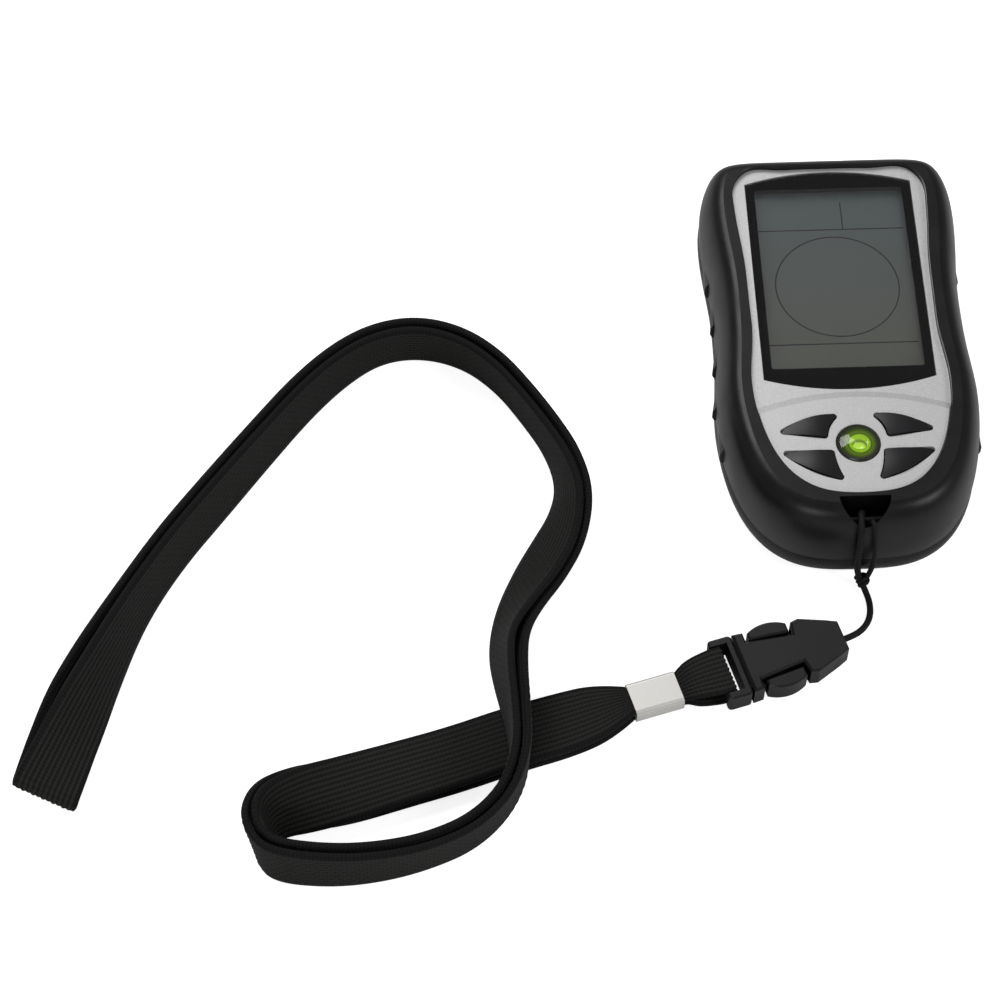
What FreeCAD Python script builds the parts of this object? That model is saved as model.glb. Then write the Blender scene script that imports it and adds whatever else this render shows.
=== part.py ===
import FreeCAD, Part
import math
import os

V = FreeCAD.Vector

# Pocket altimeter and compass on its back: +X right, +Y towards the screen's far end, +Z up.
# The origin is on the resting face, at the middle of the casing. All sizes are in millimetres.

# Casing outline, seen from above
BODY_LENGTH = 106.6
SHOULDER_WIDTH = 61.8
WAIST_WIDTH = 57.8
HIP_WIDTH = 61.4
SHOULDER_Y = 41.5
WAIST_Y = 8.0
HIP_Y = -20.0
CASING_SQUARENESS = (8.0, 3.0)
CASING_POINTS = 44
CAVITY_POINTS = 24
FINE_STEPS = 1440

# Casing heights
CREST_Z = 23.6
DECK_Z = 20.9
PARTING_Z = 7.0
SIDE_TOP_Z = 12.0
FOOT_INSET = 3.4
CREST_INSET = 5.2
WALL = 1.9
FLOOR = 1.8
SEAM = 0.1

# Face plate and window
PLATE_THICKNESS = 1.2
PLATE_PAD_STEP = 0.45
PLATE_HALF_TOP = 23.1
PLATE_HALF_WAIST = 21.0
PLATE_HALF_HIP = 23.3
PLATE_TOP_Y = 48.2
PLATE_BOTTOM_Y = -45.3
PLATE_SQUARENESS = (13.0, 2.8)
PLATE_POINTS = 40
ARCH_RADIUS = 61.0
ARCH_TOP_Y = -18.9
ARCH_SLOPE = 1.8
FIT = 0.12
LENS_HALF = 19.8
LENS_TOP_Y = 43.9
LENS_BOTTOM_Y = -13.1
LENS_BOW = 3.2
LENS_THICKNESS = 0.9
GASKET_THICKNESS = 0.2
VIEW_HALF = 17.7
VIEW_TOP_Y = 42.6
VIEW_BOTTOM_Y = -9.8

# Screen stack
GLASS_MARGIN = 1.5
GLASS_LEDGE = 2.9
LCD_THICKNESS = 1.7
BOARD_TOP_Z = 16.0
BOARD_THICKNESS = 1.0
STRIP_WIDTH = 1.8
AIR = 0.1

# Keys
KEY_GAP = 0.25
KEY_PROUD = 0.75
KEY_CORNER = 0.6
KEY_CROWN_RADIUS = 26.0
KEY_FLANGE = 0.6
KEY_FLANGE_THICKNESS = 0.6
KEY_STEM_RADIUS = 1.5
DOME_HEIGHT = 0.7
DOME_RADIUS = 2.4
DOME_SHEET = 0.15

# Bullseye level
LEVEL_Y = -31.6
LEVEL_RADIUS = 5.0
LEVEL_WALL = 0.7
LEVEL_DEPTH = 4.4
LEVEL_PROUD = 0.5
LEVEL_DOME = 0.7

# Cells and their bay
CELL_RADIUS = 5.25
CELL_LENGTH = 44.5
CELL_NIPPLE_RADIUS = 1.9
CELL_NIPPLE = 0.9
CELL_GAP = 0.3
BAY_Y0 = -30.0
BAY_WALL = 1.0
CONTACT = 0.4
SPRING_LENGTH = 4.0
SPRING_SHEET = 0.3
SPRING_HALF_WIDTH = 1.8

# Battery door
DOOR_GAP = 0.3
LIP = 3.0
REBATE = 1.4
REBATE_DEPTH = 1.0
TONGUE_WIDTH = 1.6
TONGUE_REACH = 2.0

# Fasteners
CASE_SCREW_SPOTS = ((22.6, 42.6), (20.4, -36.6))
CASE_SCREW_RADIUS = 1.0
CASE_HEAD_RADIUS = 2.0
CASE_HEAD = 1.3
CASE_BOSS_RADIUS = 2.6
BOARD_SCREW_SPOTS = ((21.4, 31.0), (21.4, -9.0))
BOARD_SCREW_RADIUS = 0.7
BOARD_HEAD_RADIUS = 1.4
BOARD_HEAD = 0.9
BOARD_POST_RADIUS = 1.9
THREAD_GAP = 0.05

# Grip ribs
RIB_COUNT = 5
RIB_TOP_Y = 28.0
RIB_LENGTH = 6.4
RIB_PITCH = 11.9
RIB_DEPTH = 0.8
RIB_ROOT = 1.2
RIB_LOW_Z = 7.4
RIB_HIGH_Z = 12.6

# Lanyard pocket
POCKET_Y = -46.4
POCKET_RADIUS = 5.8
POCKET_FLOOR_Z = 14.4
POCKET_WALL = 1.2
BAR_RADIUS = 0.75
BAR_Y = -49.4
BAR_Z = 18.4

# Side-release buckle: u runs from the webbing to the cord's eye, v across
BUCKLE_AT = (-35.3, -80.3)
BUCKLE_ANGLE = 16.0
BUCKLE_LENGTH = 30.8
BUCKLE_HALF = 7.8
BUCKLE_THICKNESS = 6.2
BUCKLE_SKIN = 1.3
BUCKLE_TIP_HALF = 3.7
FRAME_START = 1.0
FRAME_END = 6.6
FRAME_SLOT = 2.9
MOUTH_START = 6.9
MOUTH_END = 9.4
WINDOW_END = 20.0
BRIDGE_NEAR_HALF = 5.0
BRIDGE_FAR_HALF = 3.6
SHOULDER_HALF = 7.1
ARM_PIVOT_U = 8.4
ARM_PIVOT_V = 4.4
ARM_PIN_RADIUS = 0.6
PIN_GAP = 0.05
BUCKLE_RELIEF = 1.3
BAR_WIDTH = 1.3
EYE_RADIUS = 1.0

# Webbing, crimp and cords
WEB_WIDTH = 11.6
WEB_NARROW = 8.8
WEB_THICKNESS = 1.15
CRIMP_LENGTH = 11.2
CRIMP_WIDTH = 8.2
CRIMP_AT = (-48.6, -84.1)
CRIMP_SHEET = 0.5
CRIMP_HEIGHT = 4.2
STRAP_WIDTH = 15.0
STRAP_THICKNESS = 2.0
STRAND_GAP = 0.45
ARC_STEP = 16.0
TETHER_DIAMETER = 1.5
LEG_DIAMETER = 1.2
TUBE_SIDES = 6
KNOT_RADIUS = 1.7


def box(x0, x1, y0, y1, z0, z1):
    return Part.makeBox(x1 - x0, y1 - y0, z1 - z0, V(x0, y0, z0))


def rounded_box(x0, x1, y0, y1, z0, z1, radius):
    upright = box(x0, x1, y0, y1, z0, z1)
    corners = [e for e in upright.Edges if abs(e.tangentAt(0).z) > 0.9]
    return upright.makeFillet(radius, corners)


def cylinder(x, y, z0, z1, radius):
    return Part.makeCylinder(radius, z1 - z0, V(x, y, z0))


def prism(edges, z0, z1):
    wire = Part.Wire(edges)
    wire.translate(V(0, 0, z0))
    return Part.Face(wire).extrude(V(0, 0, z1 - z0))


def polygon_prism(corners, z0, z1):
    ring = [V(x, y, z0) for x, y in corners]
    wire = Part.makePolygon(ring + ring[:1])
    return Part.Face(wire).extrude(V(0, 0, z1 - z0))


def grow(shape, pieces):
    for piece in pieces:
        shape = shape.fuse(piece)
    return shape


def carve(shape, tools):
    for tool in tools:
        shape = shape.cut(tool)
    return shape


def mirrored(shape):
    return shape.mirror(V(0, 0, 0), V(1, 0, 0))


def both_sides(spots):
    return [(side * x, y) for x, y in spots for side in (1, -1)]


def blend(at, start, end, low, high):
    # runs smoothly from low at start to high at end, and stays level beyond them
    share = min(max((at - start) / (end - start), 0.0), 1.0)
    return low + (high - low) * (1 - math.cos(math.pi * share)) / 2


def waisted_outline(ends, halves, squareness, count):
    # a superellipse with its own squareness at each end, whose half width follows shoulder, waist and hip
    far, near = ends
    fine = []
    for step in range(FINE_STEPS):
        angle = math.pi / 2 - 2 * math.pi * step / FINE_STEPS
        power = 2 / (squareness[0] if math.sin(angle) > 0 else squareness[1])
        y = (far if math.sin(angle) > 0 else near) * abs(math.sin(angle)) ** power
        half = halves[1]
        if y > WAIST_Y:
            half = blend(y, WAIST_Y, SHOULDER_Y, halves[1], halves[0])
        else:
            half = blend(-y, -WAIST_Y, -HIP_Y, halves[1], halves[2])
        fine.append(V(math.copysign(half * abs(math.cos(angle)) ** power, math.cos(angle)), y, 0))
    lengths = [0.0]
    for here, after in zip(fine, fine[1:] + fine[:1]):
        lengths.append(lengths[-1] + (after - here).Length)
    points = []
    index = 0
    for step in range(count):
        wanted = lengths[-1] * step / count
        while lengths[index + 1] < wanted:
            index += 1
        share = (wanted - lengths[index]) / (lengths[index + 1] - lengths[index])
        here = fine[index]
        after = fine[(index + 1) % FINE_STEPS]
        points.append(here + (after - here) * share)
    return closed_curve(points)


def closed_curve(points):
    curve = Part.BSplineCurve()
    curve.interpolate(Points=points, PeriodicFlag=True)
    return curve


def inset_points(curve, inset, z):
    # the curve's evenly spaced points, moved inwards by the inset
    count = curve.NbPoles
    first, last = curve.FirstParameter, curve.LastParameter
    points = []
    for index in range(count):
        at = first + (last - first) * index / count
        tangent = curve.tangent(at)[0]
        points.append(curve.value(at) + V(tangent.y, -tangent.x, 0) * inset + V(0, 0, z))
    return points


def inset_wire(curve, inset, z):
    return Part.Wire([closed_curve(inset_points(curve, inset, z)).toShape()])


def casing_curve(count):
    halves = (SHOULDER_WIDTH / 2, WAIST_WIDTH / 2, HIP_WIDTH / 2)
    return waisted_outline((BODY_LENGTH / 2, -BODY_LENGTH / 2), halves, CASING_SQUARENESS, count)


def plate_curve():
    halves = (PLATE_HALF_TOP, PLATE_HALF_WAIST, PLATE_HALF_HIP)
    return waisted_outline((PLATE_TOP_Y, PLATE_BOTTOM_Y), halves, PLATE_SQUARENESS, PLATE_POINTS)


def smooth_loft(curve, sections):
    return Part.makeLoft([inset_wire(curve, inset, z) for z, inset in sections], True, False)


def wall_loft(curve, inset, z0, z1):
    return Part.makeLoft([inset_wire(curve, inset, z0), inset_wire(curve, inset, z1)], True, True)


def plain_loft(curve, sections):
    # straight-sided, for the walls that nobody sees
    wires = []
    for z, inset in sections:
        points = inset_points(curve, inset, z)
        wires.append(Part.makePolygon(points + points[:1]))
    return Part.makeLoft(wires, True, True)


def quarter(z0, z1, inset0, inset1, steps, offset=0.0):
    # heights and insets along a quarter ellipse that is upright at z0 and level at z1
    spots = []
    for step in range(steps + 1):
        angle = math.pi / 2 * step / steps
        z = z0 + (z1 - z0) * math.sin(angle)
        inset = inset0 + (inset1 - inset0) * (1 - math.cos(angle))
        spots.append((z, inset + offset))
    return spots


def grip_ribs():
    curve = casing_curve(CASING_POINTS)
    outline = inset_wire(curve, 0.0, 0.0)
    ribs = []
    for index in range(RIB_COUNT):
        top = RIB_TOP_Y - RIB_PITCH * index
        low = top - RIB_LENGTH
        edge_x = []
        for y in (top, low):
            ray = Part.LineSegment(V(0, y, 0), V(-SHOULDER_WIDTH, y, 0)).toShape()
            edge_x.append(outline.distToShape(ray)[1][0][0].x)
        top_x, low_x = edge_x
        inner = [V(low_x + RIB_ROOT, low, 0), V(top_x + RIB_ROOT, top, 0)]
        full = inner + [V(top_x, top, 0), V(low_x - RIB_DEPTH, low, 0)]
        faded = inner + [V(top_x + 0.3, top, 0), V(low_x - 0.2, low, 0)]
        wires = []
        for corners, z in ((faded, RIB_LOW_Z), (full, RIB_LOW_Z + 1.4),
                           (full, RIB_HIGH_Z - 1.8), (faded, RIB_HIGH_Z)):
            lifted = [corner + V(0, 0, z) for corner in corners]
            wires.append(Part.makePolygon(lifted + lifted[:1]))
        rib = Part.makeLoft(wires, True, True)
        ribs.append(rib)
        ribs.append(mirrored(rib))
    return ribs


def pocket_block(radius, z0, z1):
    tube = cylinder(0, POCKET_Y, z0, z1, radius)
    near = box(-radius, radius, POCKET_Y - radius, POCKET_Y + (radius - POCKET_RADIUS), z0, z1)
    return tube.common(near)


def lens_outline(margin):
    half = LENS_HALF - margin
    top = LENS_TOP_Y - margin
    low = LENS_BOTTOM_Y + margin
    edges = [Part.Arc(V(-half, top, 0), V(0, top + LENS_BOW, 0), V(half, top, 0)).toShape()]
    edges.append(Part.LineSegment(V(half, top, 0), V(half, low, 0)).toShape())
    edges.append(Part.Arc(V(half, low, 0), V(0, low - LENS_BOW, 0), V(-half, low, 0)).toShape())
    edges.append(Part.LineSegment(V(-half, low, 0), V(-half, top, 0)).toShape())
    return edges


UPPER_KEY = ((3.3, -23.6), (11.4, -24.8), (18.2, -28.3), (6.9, -29.9), (5.9, -26.4))
LOWER_KEY = ((5.8, -33.5), (17.8, -33.3), (12.0, -38.1), (3.8, -41.5), (5.3, -37.4))


def key_outline(corners, outwards):
    # an upper or lower key: two arcs and one straight edge, with its corners rounded
    middle = V(sum(x for x, y in corners) / 5, sum(y for x, y in corners) / 5, 0)
    points = [V(x, y, 0) for x, y in corners]
    if corners is UPPER_KEY:
        a, outer, b, c, inner = points
        sides = [Part.Arc(a, outer, b), Part.LineSegment(b, c), Part.Arc(c, inner, a)]
    else:
        a, b, outer, c, inner = points
        sides = [Part.LineSegment(a, b), Part.Arc(b, outer, c), Part.Arc(c, inner, a)]
    core = Part.Wire([side.toShape() for side in sides]).makeOffset2D(-KEY_CORNER)
    return core.makeOffset2D(KEY_CORNER + outwards), middle


def key_prism(corners, outwards, z0, z1):
    wire, middle = key_outline(corners, outwards)
    wire.translate(V(0, 0, z0))
    return Part.Face(wire).extrude(V(0, 0, z1 - z0))


CEILING_Z = DECK_Z - FLOOR
PLATE_TOP_Z = DECK_Z + PLATE_THICKNESS
PAD_TOP_Z = PLATE_TOP_Z + PLATE_PAD_STEP
FLANGE_TOP_Z = CEILING_Z - AIR
BAY_HALF = 2 * CELL_RADIUS + CELL_GAP / 2 + CELL_GAP
BAY_Y1 = BAY_Y0 + CELL_LENGTH + SPRING_LENGTH + 2 * CONTACT + 2 * AIR
CELL_Z = FLOOR + CELL_GAP + CELL_RADIUS
BAY_TOP_Z = CELL_Z + CELL_RADIUS + CELL_GAP
LCD_TOP_Z = CEILING_Z - AIR
LCD_LOW_Z = LCD_TOP_Z - LCD_THICKNESS
HINGE_Y = BAY_Y0 + LIP
HINGE_Z = 0.2


def key_places():
    return (("key_upper_right", UPPER_KEY, 1), ("key_upper_left", UPPER_KEY, -1),
            ("key_lower_right", LOWER_KEY, 1), ("key_lower_left", LOWER_KEY, -1))


def key_holes(z0, z1):
    holes = []
    for name, corners, side in key_places():
        hole = key_prism(corners, KEY_GAP, z0, z1)
        holes.append(hole if side > 0 else mirrored(hole))
    return holes


def front_shell():
    crown = quarter(SIDE_TOP_Z, CREST_Z, 0.0, CREST_INSET, 3)
    outside = smooth_loft(casing_curve(CASING_POINTS), [(PARTING_Z + SEAM, 0.25)] + crown)
    hollow = [(PARTING_Z - 1, WALL), (SIDE_TOP_Z, WALL),
              (CEILING_Z - 2.6, WALL + 1.3), (CEILING_Z, WALL + 4.2)]
    inside = plain_loft(casing_curve(CAVITY_POINTS), hollow)
    shell = outside.cut(inside)
    columns = [pocket_block(POCKET_RADIUS + POCKET_WALL, POCKET_FLOOR_Z - POCKET_WALL, CEILING_Z + 0.5)]
    for x, y in both_sides(CASE_SCREW_SPOTS):
        columns.append(cylinder(x, y, PARTING_Z + SEAM, CEILING_Z + 0.5, CASE_BOSS_RADIUS))
    for x, y in both_sides(BOARD_SCREW_SPOTS):
        columns.append(cylinder(x, y, BOARD_TOP_Z, CEILING_Z + 0.5, BOARD_POST_RADIUS))
    shell = grow(shell, [outside.common(column) for column in columns])
    shell = grow(shell, grip_ribs())
    cuts = [wall_loft(plate_curve(), -FIT, DECK_Z, CREST_Z + 1)]
    cuts.append(rounded_box(-VIEW_HALF - 0.5, VIEW_HALF + 0.5, VIEW_BOTTOM_Y - 0.5, VIEW_TOP_Y + 0.5,
                            CEILING_Z - 1, DECK_Z + 1, 1.5))
    cuts.extend(key_holes(CEILING_Z - 1, DECK_Z + 1))
    cuts.append(cylinder(0, LEVEL_Y, CEILING_Z - 3, DECK_Z + 1, LEVEL_RADIUS + FIT))
    cuts.append(pocket_block(POCKET_RADIUS, POCKET_FLOOR_Z, CREST_Z + 1))
    for x, y in both_sides(CASE_SCREW_SPOTS):
        cuts.append(cylinder(x, y, PARTING_Z - 1, CEILING_Z - 3.0, CASE_SCREW_RADIUS + THREAD_GAP))
    for x, y in both_sides(BOARD_SCREW_SPOTS):
        cuts.append(cylinder(x, y, BOARD_TOP_Z - 1, CEILING_Z, BOARD_SCREW_RADIUS + THREAD_GAP))
    shell = carve(shell, cuts)
    reach = POCKET_RADIUS + POCKET_WALL / 2
    bar = Part.makeCylinder(BAR_RADIUS, 2 * reach, V(-reach, BAR_Y, BAR_Z), V(1, 0, 0))
    return shell.fuse(bar.common(pocket_block(reach, POCKET_FLOOR_Z, CREST_Z)))


def back_shell():
    sides = quarter(PARTING_Z - 1.2, 0.0, 0.0, FOOT_INSET, 2)
    outside = smooth_loft(casing_curve(CASING_POINTS), list(reversed(sides)) + [(PARTING_Z, 0.25)])
    hollow = [(FLOOR, FOOT_INSET + WALL), (FLOOR + 2.0, WALL + 1.0), (PARTING_Z + 1, WALL)]
    inside = plain_loft(casing_curve(CAVITY_POINTS), hollow)
    shell = outside.cut(inside)
    outer_half = BAY_HALF + BAY_WALL
    bay = box(-outer_half, outer_half, BAY_Y0 - BAY_WALL, BAY_Y1 + BAY_WALL, FLOOR / 2, BAY_TOP_Z + BAY_WALL)
    columns = []
    for x, y in both_sides(CASE_SCREW_SPOTS):
        columns.append(cylinder(x, y, FLOOR / 2, PARTING_Z, CASE_HEAD_RADIUS + 1.1))
    shell = grow(shell, [bay] + columns)
    cuts = [box(-BAY_HALF, BAY_HALF, BAY_Y0, BAY_Y1, FLOOR, BAY_TOP_Z)]
    cuts.append(box(-BAY_HALF, BAY_HALF, HINGE_Y, BAY_Y1, -1, FLOOR + 1))
    rebate_half = BAY_HALF + REBATE
    cuts.append(rounded_box(-rebate_half, rebate_half, HINGE_Y, BAY_Y1 + REBATE, -1, REBATE_DEPTH, 1.0))
    cuts.append(Part.makeSphere(5.0, V(0, BAY_Y1 + REBATE + 2.4, -3.6)))
    for x, y in both_sides(CASE_SCREW_SPOTS):
        cuts.append(cylinder(x, y, -1, CASE_HEAD + 0.9, CASE_HEAD_RADIUS + 0.3))
        cuts.append(cylinder(x, y, 0, PARTING_Z + 1, CASE_SCREW_RADIUS + 0.2))
    return carve(shell, cuts)


def face_plate():
    body = wall_loft(plate_curve(), 0.0, DECK_Z, PAD_TOP_Z)
    arch_y = ARCH_TOP_Y - ARCH_RADIUS
    tall = Part.makeCone(ARCH_RADIUS + ARCH_SLOPE, ARCH_RADIUS, PLATE_PAD_STEP, V(0, arch_y, PLATE_TOP_Z))
    above = box(-BODY_LENGTH, BODY_LENGTH, -BODY_LENGTH, BODY_LENGTH, PLATE_TOP_Z, PAD_TOP_Z).cut(tall)
    body = body.cut(above)
    upper = [e for e in body.Edges if e.BoundBox.ZMin > PLATE_TOP_Z + 0.2]
    body = body.makeChamfer(0.3, [e for e in upper if e.BoundBox.YMin < PLATE_BOTTOM_Y + 1])
    cuts = [prism(lens_outline(-FIT), DECK_Z - 1, PAD_TOP_Z + 1)]
    cuts.extend(key_holes(DECK_Z - 1, PAD_TOP_Z + 1))
    cuts.append(cylinder(0, LEVEL_Y, DECK_Z - 1, PAD_TOP_Z + 1, LEVEL_RADIUS + FIT))
    return body.cut(cuts).removeSplitter()


def lens_gasket():
    ring = prism(lens_outline(FIT), DECK_Z, DECK_Z + GASKET_THICKNESS)
    view = rounded_box(-VIEW_HALF, VIEW_HALF, VIEW_BOTTOM_Y, VIEW_TOP_Y, DECK_Z - 1, DECK_Z + 1, 0.6)
    return ring.cut(view)


def display_lens():
    low = DECK_Z + GASKET_THICKNESS
    pane = prism(lens_outline(0.0), low, low + LENS_THICKNESS)
    rim = [e for e in pane.Edges if e.BoundBox.ZMin > low + LENS_THICKNESS / 2]
    return pane.makeChamfer(0.2, rim)


def lcd_panel():
    half = VIEW_HALF + GLASS_MARGIN
    back = box(-half, half, VIEW_BOTTOM_Y - GLASS_LEDGE, VIEW_TOP_Y + GLASS_LEDGE, LCD_LOW_Z, LCD_LOW_Z + 0.6)
    front = box(-half, half, VIEW_BOTTOM_Y - 0.9, VIEW_TOP_Y + 0.9, LCD_LOW_Z + 0.6, LCD_TOP_Z)
    return back.fuse(front).removeSplitter()


def light_guide():
    return rounded_box(-VIEW_HALF, VIEW_HALF, VIEW_BOTTOM_Y, VIEW_TOP_Y,
                       BOARD_TOP_Z + AIR, LCD_LOW_Z - AIR, 1.0)


def elastomer_connectors():
    half = VIEW_HALF - 0.7
    strips = []
    for y in (VIEW_TOP_Y + GLASS_LEDGE / 2, VIEW_BOTTOM_Y - GLASS_LEDGE / 2):
        strips.append(box(-half, half, y - STRIP_WIDTH / 2, y + STRIP_WIDTH / 2, BOARD_TOP_Z, LCD_LOW_Z))
    return Part.makeCompound(strips)


BOARD_LOW_Z = BOARD_TOP_Z - BOARD_THICKNESS


def main_board():
    outline = [(-17.6, 46.6), (17.6, 46.6), (17.6, 37.6), (23.6, 37.6), (23.6, -15.0), (17.0, -19.0),
               (17.0, -41.2), (-17.0, -41.2), (-17.0, -19.0), (-23.6, -15.0), (-23.6, 37.6), (-17.6, 37.6)]
    board = polygon_prism(outline, BOARD_LOW_Z, BOARD_TOP_Z)
    holes = []
    for x, y in both_sides(BOARD_SCREW_SPOTS):
        holes.append(cylinder(x, y, 0, BOARD_TOP_Z + 1, BOARD_SCREW_RADIUS + 0.2))
    holes.append(cylinder(0, LEVEL_Y, 0, BOARD_TOP_Z + 1, LEVEL_RADIUS - 1.0))
    return board.cut(holes)


def chip(x, y, width, length, height, legs):
    low = BOARD_LOW_Z - height
    body = box(x - width / 2, x + width / 2, y - length / 2, y + length / 2, low, BOARD_LOW_Z - 0.1)
    corners = [e for e in body.Edges if e.BoundBox.ZMax < low + 0.05]
    body = body.makeChamfer(0.15, corners)
    pins = []
    for index in range(legs):
        at = y - length / 2 + length * (index + 0.5) / legs
        reach = width / 2 + 0.5
        pins.append(box(x - reach, x + reach, at - 0.12, at + 0.12, BOARD_LOW_Z - 0.3, BOARD_LOW_Z))
    return body.fuse(pins).removeSplitter()


def display_driver():
    return chip(0, 33.0, 7.0, 7.0, 1.2, 5)


def pressure_sensor():
    can = box(-13.0, -8.0, 31.0, 36.0, BOARD_LOW_Z - 1.0, BOARD_LOW_Z)
    cap = cylinder(-10.5, 33.5, BOARD_LOW_Z - 2.0, BOARD_LOW_Z - 1.0, 2.0)
    port = cylinder(-10.5, 33.5, BOARD_LOW_Z - 3, BOARD_LOW_Z - 1.6, 0.5)
    return can.fuse(cap).cut(port).removeSplitter()


def compass_sensor():
    return chip(10.5, 34.0, 3.0, 3.0, 0.9, 3)


def clock_crystal():
    can = Part.makeCylinder(1.0, 6.0, V(7.0, 27.0, BOARD_LOW_Z - 1.0), V(1, 0, 0))
    return can


def buzzer():
    disc = cylinder(0, -37.0, BOARD_LOW_Z - 3.4, BOARD_LOW_Z, 4.0)
    port = cylinder(0, -37.0, BOARD_LOW_Z - 4, BOARD_LOW_Z - 2.6, 0.8)
    return disc.cut(port)


def board_parts():
    pieces = []
    for index in range(4):
        x = -6.0 + 4.0 * index
        pieces.append(box(x - 0.8, x + 0.8, 40.6, 41.4, BOARD_LOW_Z - 0.7, BOARD_LOW_Z))
    for x in (-15.0, 15.0):
        pieces.append(box(x - 0.6, x + 0.6, 26.0, 27.6, BOARD_LOW_Z - 0.8, BOARD_LOW_Z))
    return Part.makeCompound(pieces)


def key_middle(corners, side):
    wire, middle = key_outline(corners, 0)
    return V(side * middle.x, middle.y, 0)


def key_cap(corners, side):
    top = PAD_TOP_Z + KEY_PROUD
    middle = key_middle(corners, 1)
    crown = Part.makeSphere(KEY_CROWN_RADIUS, V(middle.x, middle.y, top - KEY_CROWN_RADIUS))
    cap = key_prism(corners, 0, FLANGE_TOP_Z, top).common(crown)
    flange = key_prism(corners, KEY_FLANGE, FLANGE_TOP_Z - KEY_FLANGE_THICKNESS, FLANGE_TOP_Z)
    stem = cylinder(middle.x, middle.y, BOARD_TOP_Z + DOME_HEIGHT + 0.05,
                    FLANGE_TOP_Z - KEY_FLANGE_THICKNESS, KEY_STEM_RADIUS)
    key = cap.fuse([flange, stem]).removeSplitter()
    return key if side > 0 else mirrored(key)


def snap_dome(corners, side):
    middle = key_middle(corners, side)
    ball = (DOME_RADIUS ** 2 + DOME_HEIGHT ** 2) / (2 * DOME_HEIGHT)
    centre = V(middle.x, middle.y, BOARD_TOP_Z + DOME_HEIGHT - ball)
    cap = Part.makeSphere(ball, centre).cut(Part.makeSphere(ball - DOME_SHEET, centre))
    return cap.common(cylinder(middle.x, middle.y, BOARD_TOP_Z, BOARD_TOP_Z + 2, 2 * DOME_RADIUS))


def level_cup():
    top = PAD_TOP_Z + LEVEL_PROUD
    cup = cylinder(0, LEVEL_Y, top - LEVEL_DEPTH, top, LEVEL_RADIUS)
    hollow = cylinder(0, LEVEL_Y, top - LEVEL_DEPTH + LEVEL_WALL, top + 1, LEVEL_RADIUS - LEVEL_WALL)
    brim = [e for e in cup.Edges if e.BoundBox.ZMin > top - 0.1]
    return cup.makeChamfer(0.25, brim).cut(hollow)


def level_fluid():
    top = PAD_TOP_Z + LEVEL_PROUD
    low = top - LEVEL_DEPTH + LEVEL_WALL
    inner = LEVEL_RADIUS - LEVEL_WALL
    fluid = cylinder(0, LEVEL_Y, low, top - 0.9, inner - 0.02)
    bubble = Part.makeSphere(1.9, V(0.3, LEVEL_Y + 0.2, top - 0.9))
    return fluid.cut(bubble)


def level_cap():
    top = PAD_TOP_Z + LEVEL_PROUD
    inner = LEVEL_RADIUS - LEVEL_WALL
    lid = cylinder(0, LEVEL_Y, top - 0.9, top - 0.1, inner - 0.02)
    ball = (inner ** 2 + LEVEL_DOME ** 2) / (2 * LEVEL_DOME)
    dome = Part.makeSphere(ball, V(0, LEVEL_Y, top - 0.1 + LEVEL_DOME - ball))
    dome = dome.common(cylinder(0, LEVEL_Y, top - 0.1, top + LEVEL_DOME + 1, inner - 0.02))
    return lid.fuse(dome).removeSplitter()


def cell(side):
    # the right cell points its nipple to the near end, the left one to the far end
    x = side * (CELL_RADIUS + CELL_GAP / 2)
    low = BAY_Y0 + AIR + CONTACT
    start = low + (SPRING_LENGTH if side < 0 else 0)
    can_length = CELL_LENGTH - CELL_NIPPLE
    can_start = start if side < 0 else start + CELL_NIPPLE
    can = Part.makeCylinder(CELL_RADIUS - 0.05, can_length, V(x, can_start, CELL_Z), V(0, 1, 0))
    can = can.makeChamfer(0.5, [e for e in can.Edges if len(e.Vertexes) == 1])
    nipple_start = can_start + can_length if side < 0 else start
    nipple = Part.makeCylinder(CELL_NIPPLE_RADIUS, CELL_NIPPLE, V(x, nipple_start, CELL_Z), V(0, 1, 0))
    return can.fuse(nipple).removeSplitter()


def battery_contacts():
    plates = []
    half = CELL_RADIUS - 0.8
    for y in (BAY_Y0 + AIR, BAY_Y1 - AIR - CONTACT):
        for side in (1, -1):
            x = side * (CELL_RADIUS + CELL_GAP / 2)
            plates.append(box(x - half, x + half, y, y + CONTACT, FLOOR + 0.9, CELL_Z + 4.0))
    return Part.makeCompound(plates)


def battery_springs():
    # bent leaf springs that push each cell towards its other contact
    leaves = []
    root = SPRING_LENGTH - 0.3
    for side in (-1, 1):
        x = side * (CELL_RADIUS + CELL_GAP / 2)
        bend = [(0.0, -3.4), (root, -0.4), (root, 0.4), (0.4, 3.4)]
        inner = [(0.4, 2.6), (root - SPRING_SHEET, 0.2), (root - SPRING_SHEET, -0.2), (0.0, -2.9)]
        start = BAY_Y0 + AIR + CONTACT if side < 0 else BAY_Y1 - AIR - CONTACT
        points = [V(x - SPRING_HALF_WIDTH, start - side * y, CELL_Z + z) for y, z in bend + inner]
        leaf = Part.Face(Part.makePolygon(points + points[:1]))
        leaves.append(leaf.extrude(V(2 * SPRING_HALF_WIDTH, 0, 0)))
    return Part.makeCompound(leaves)


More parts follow.
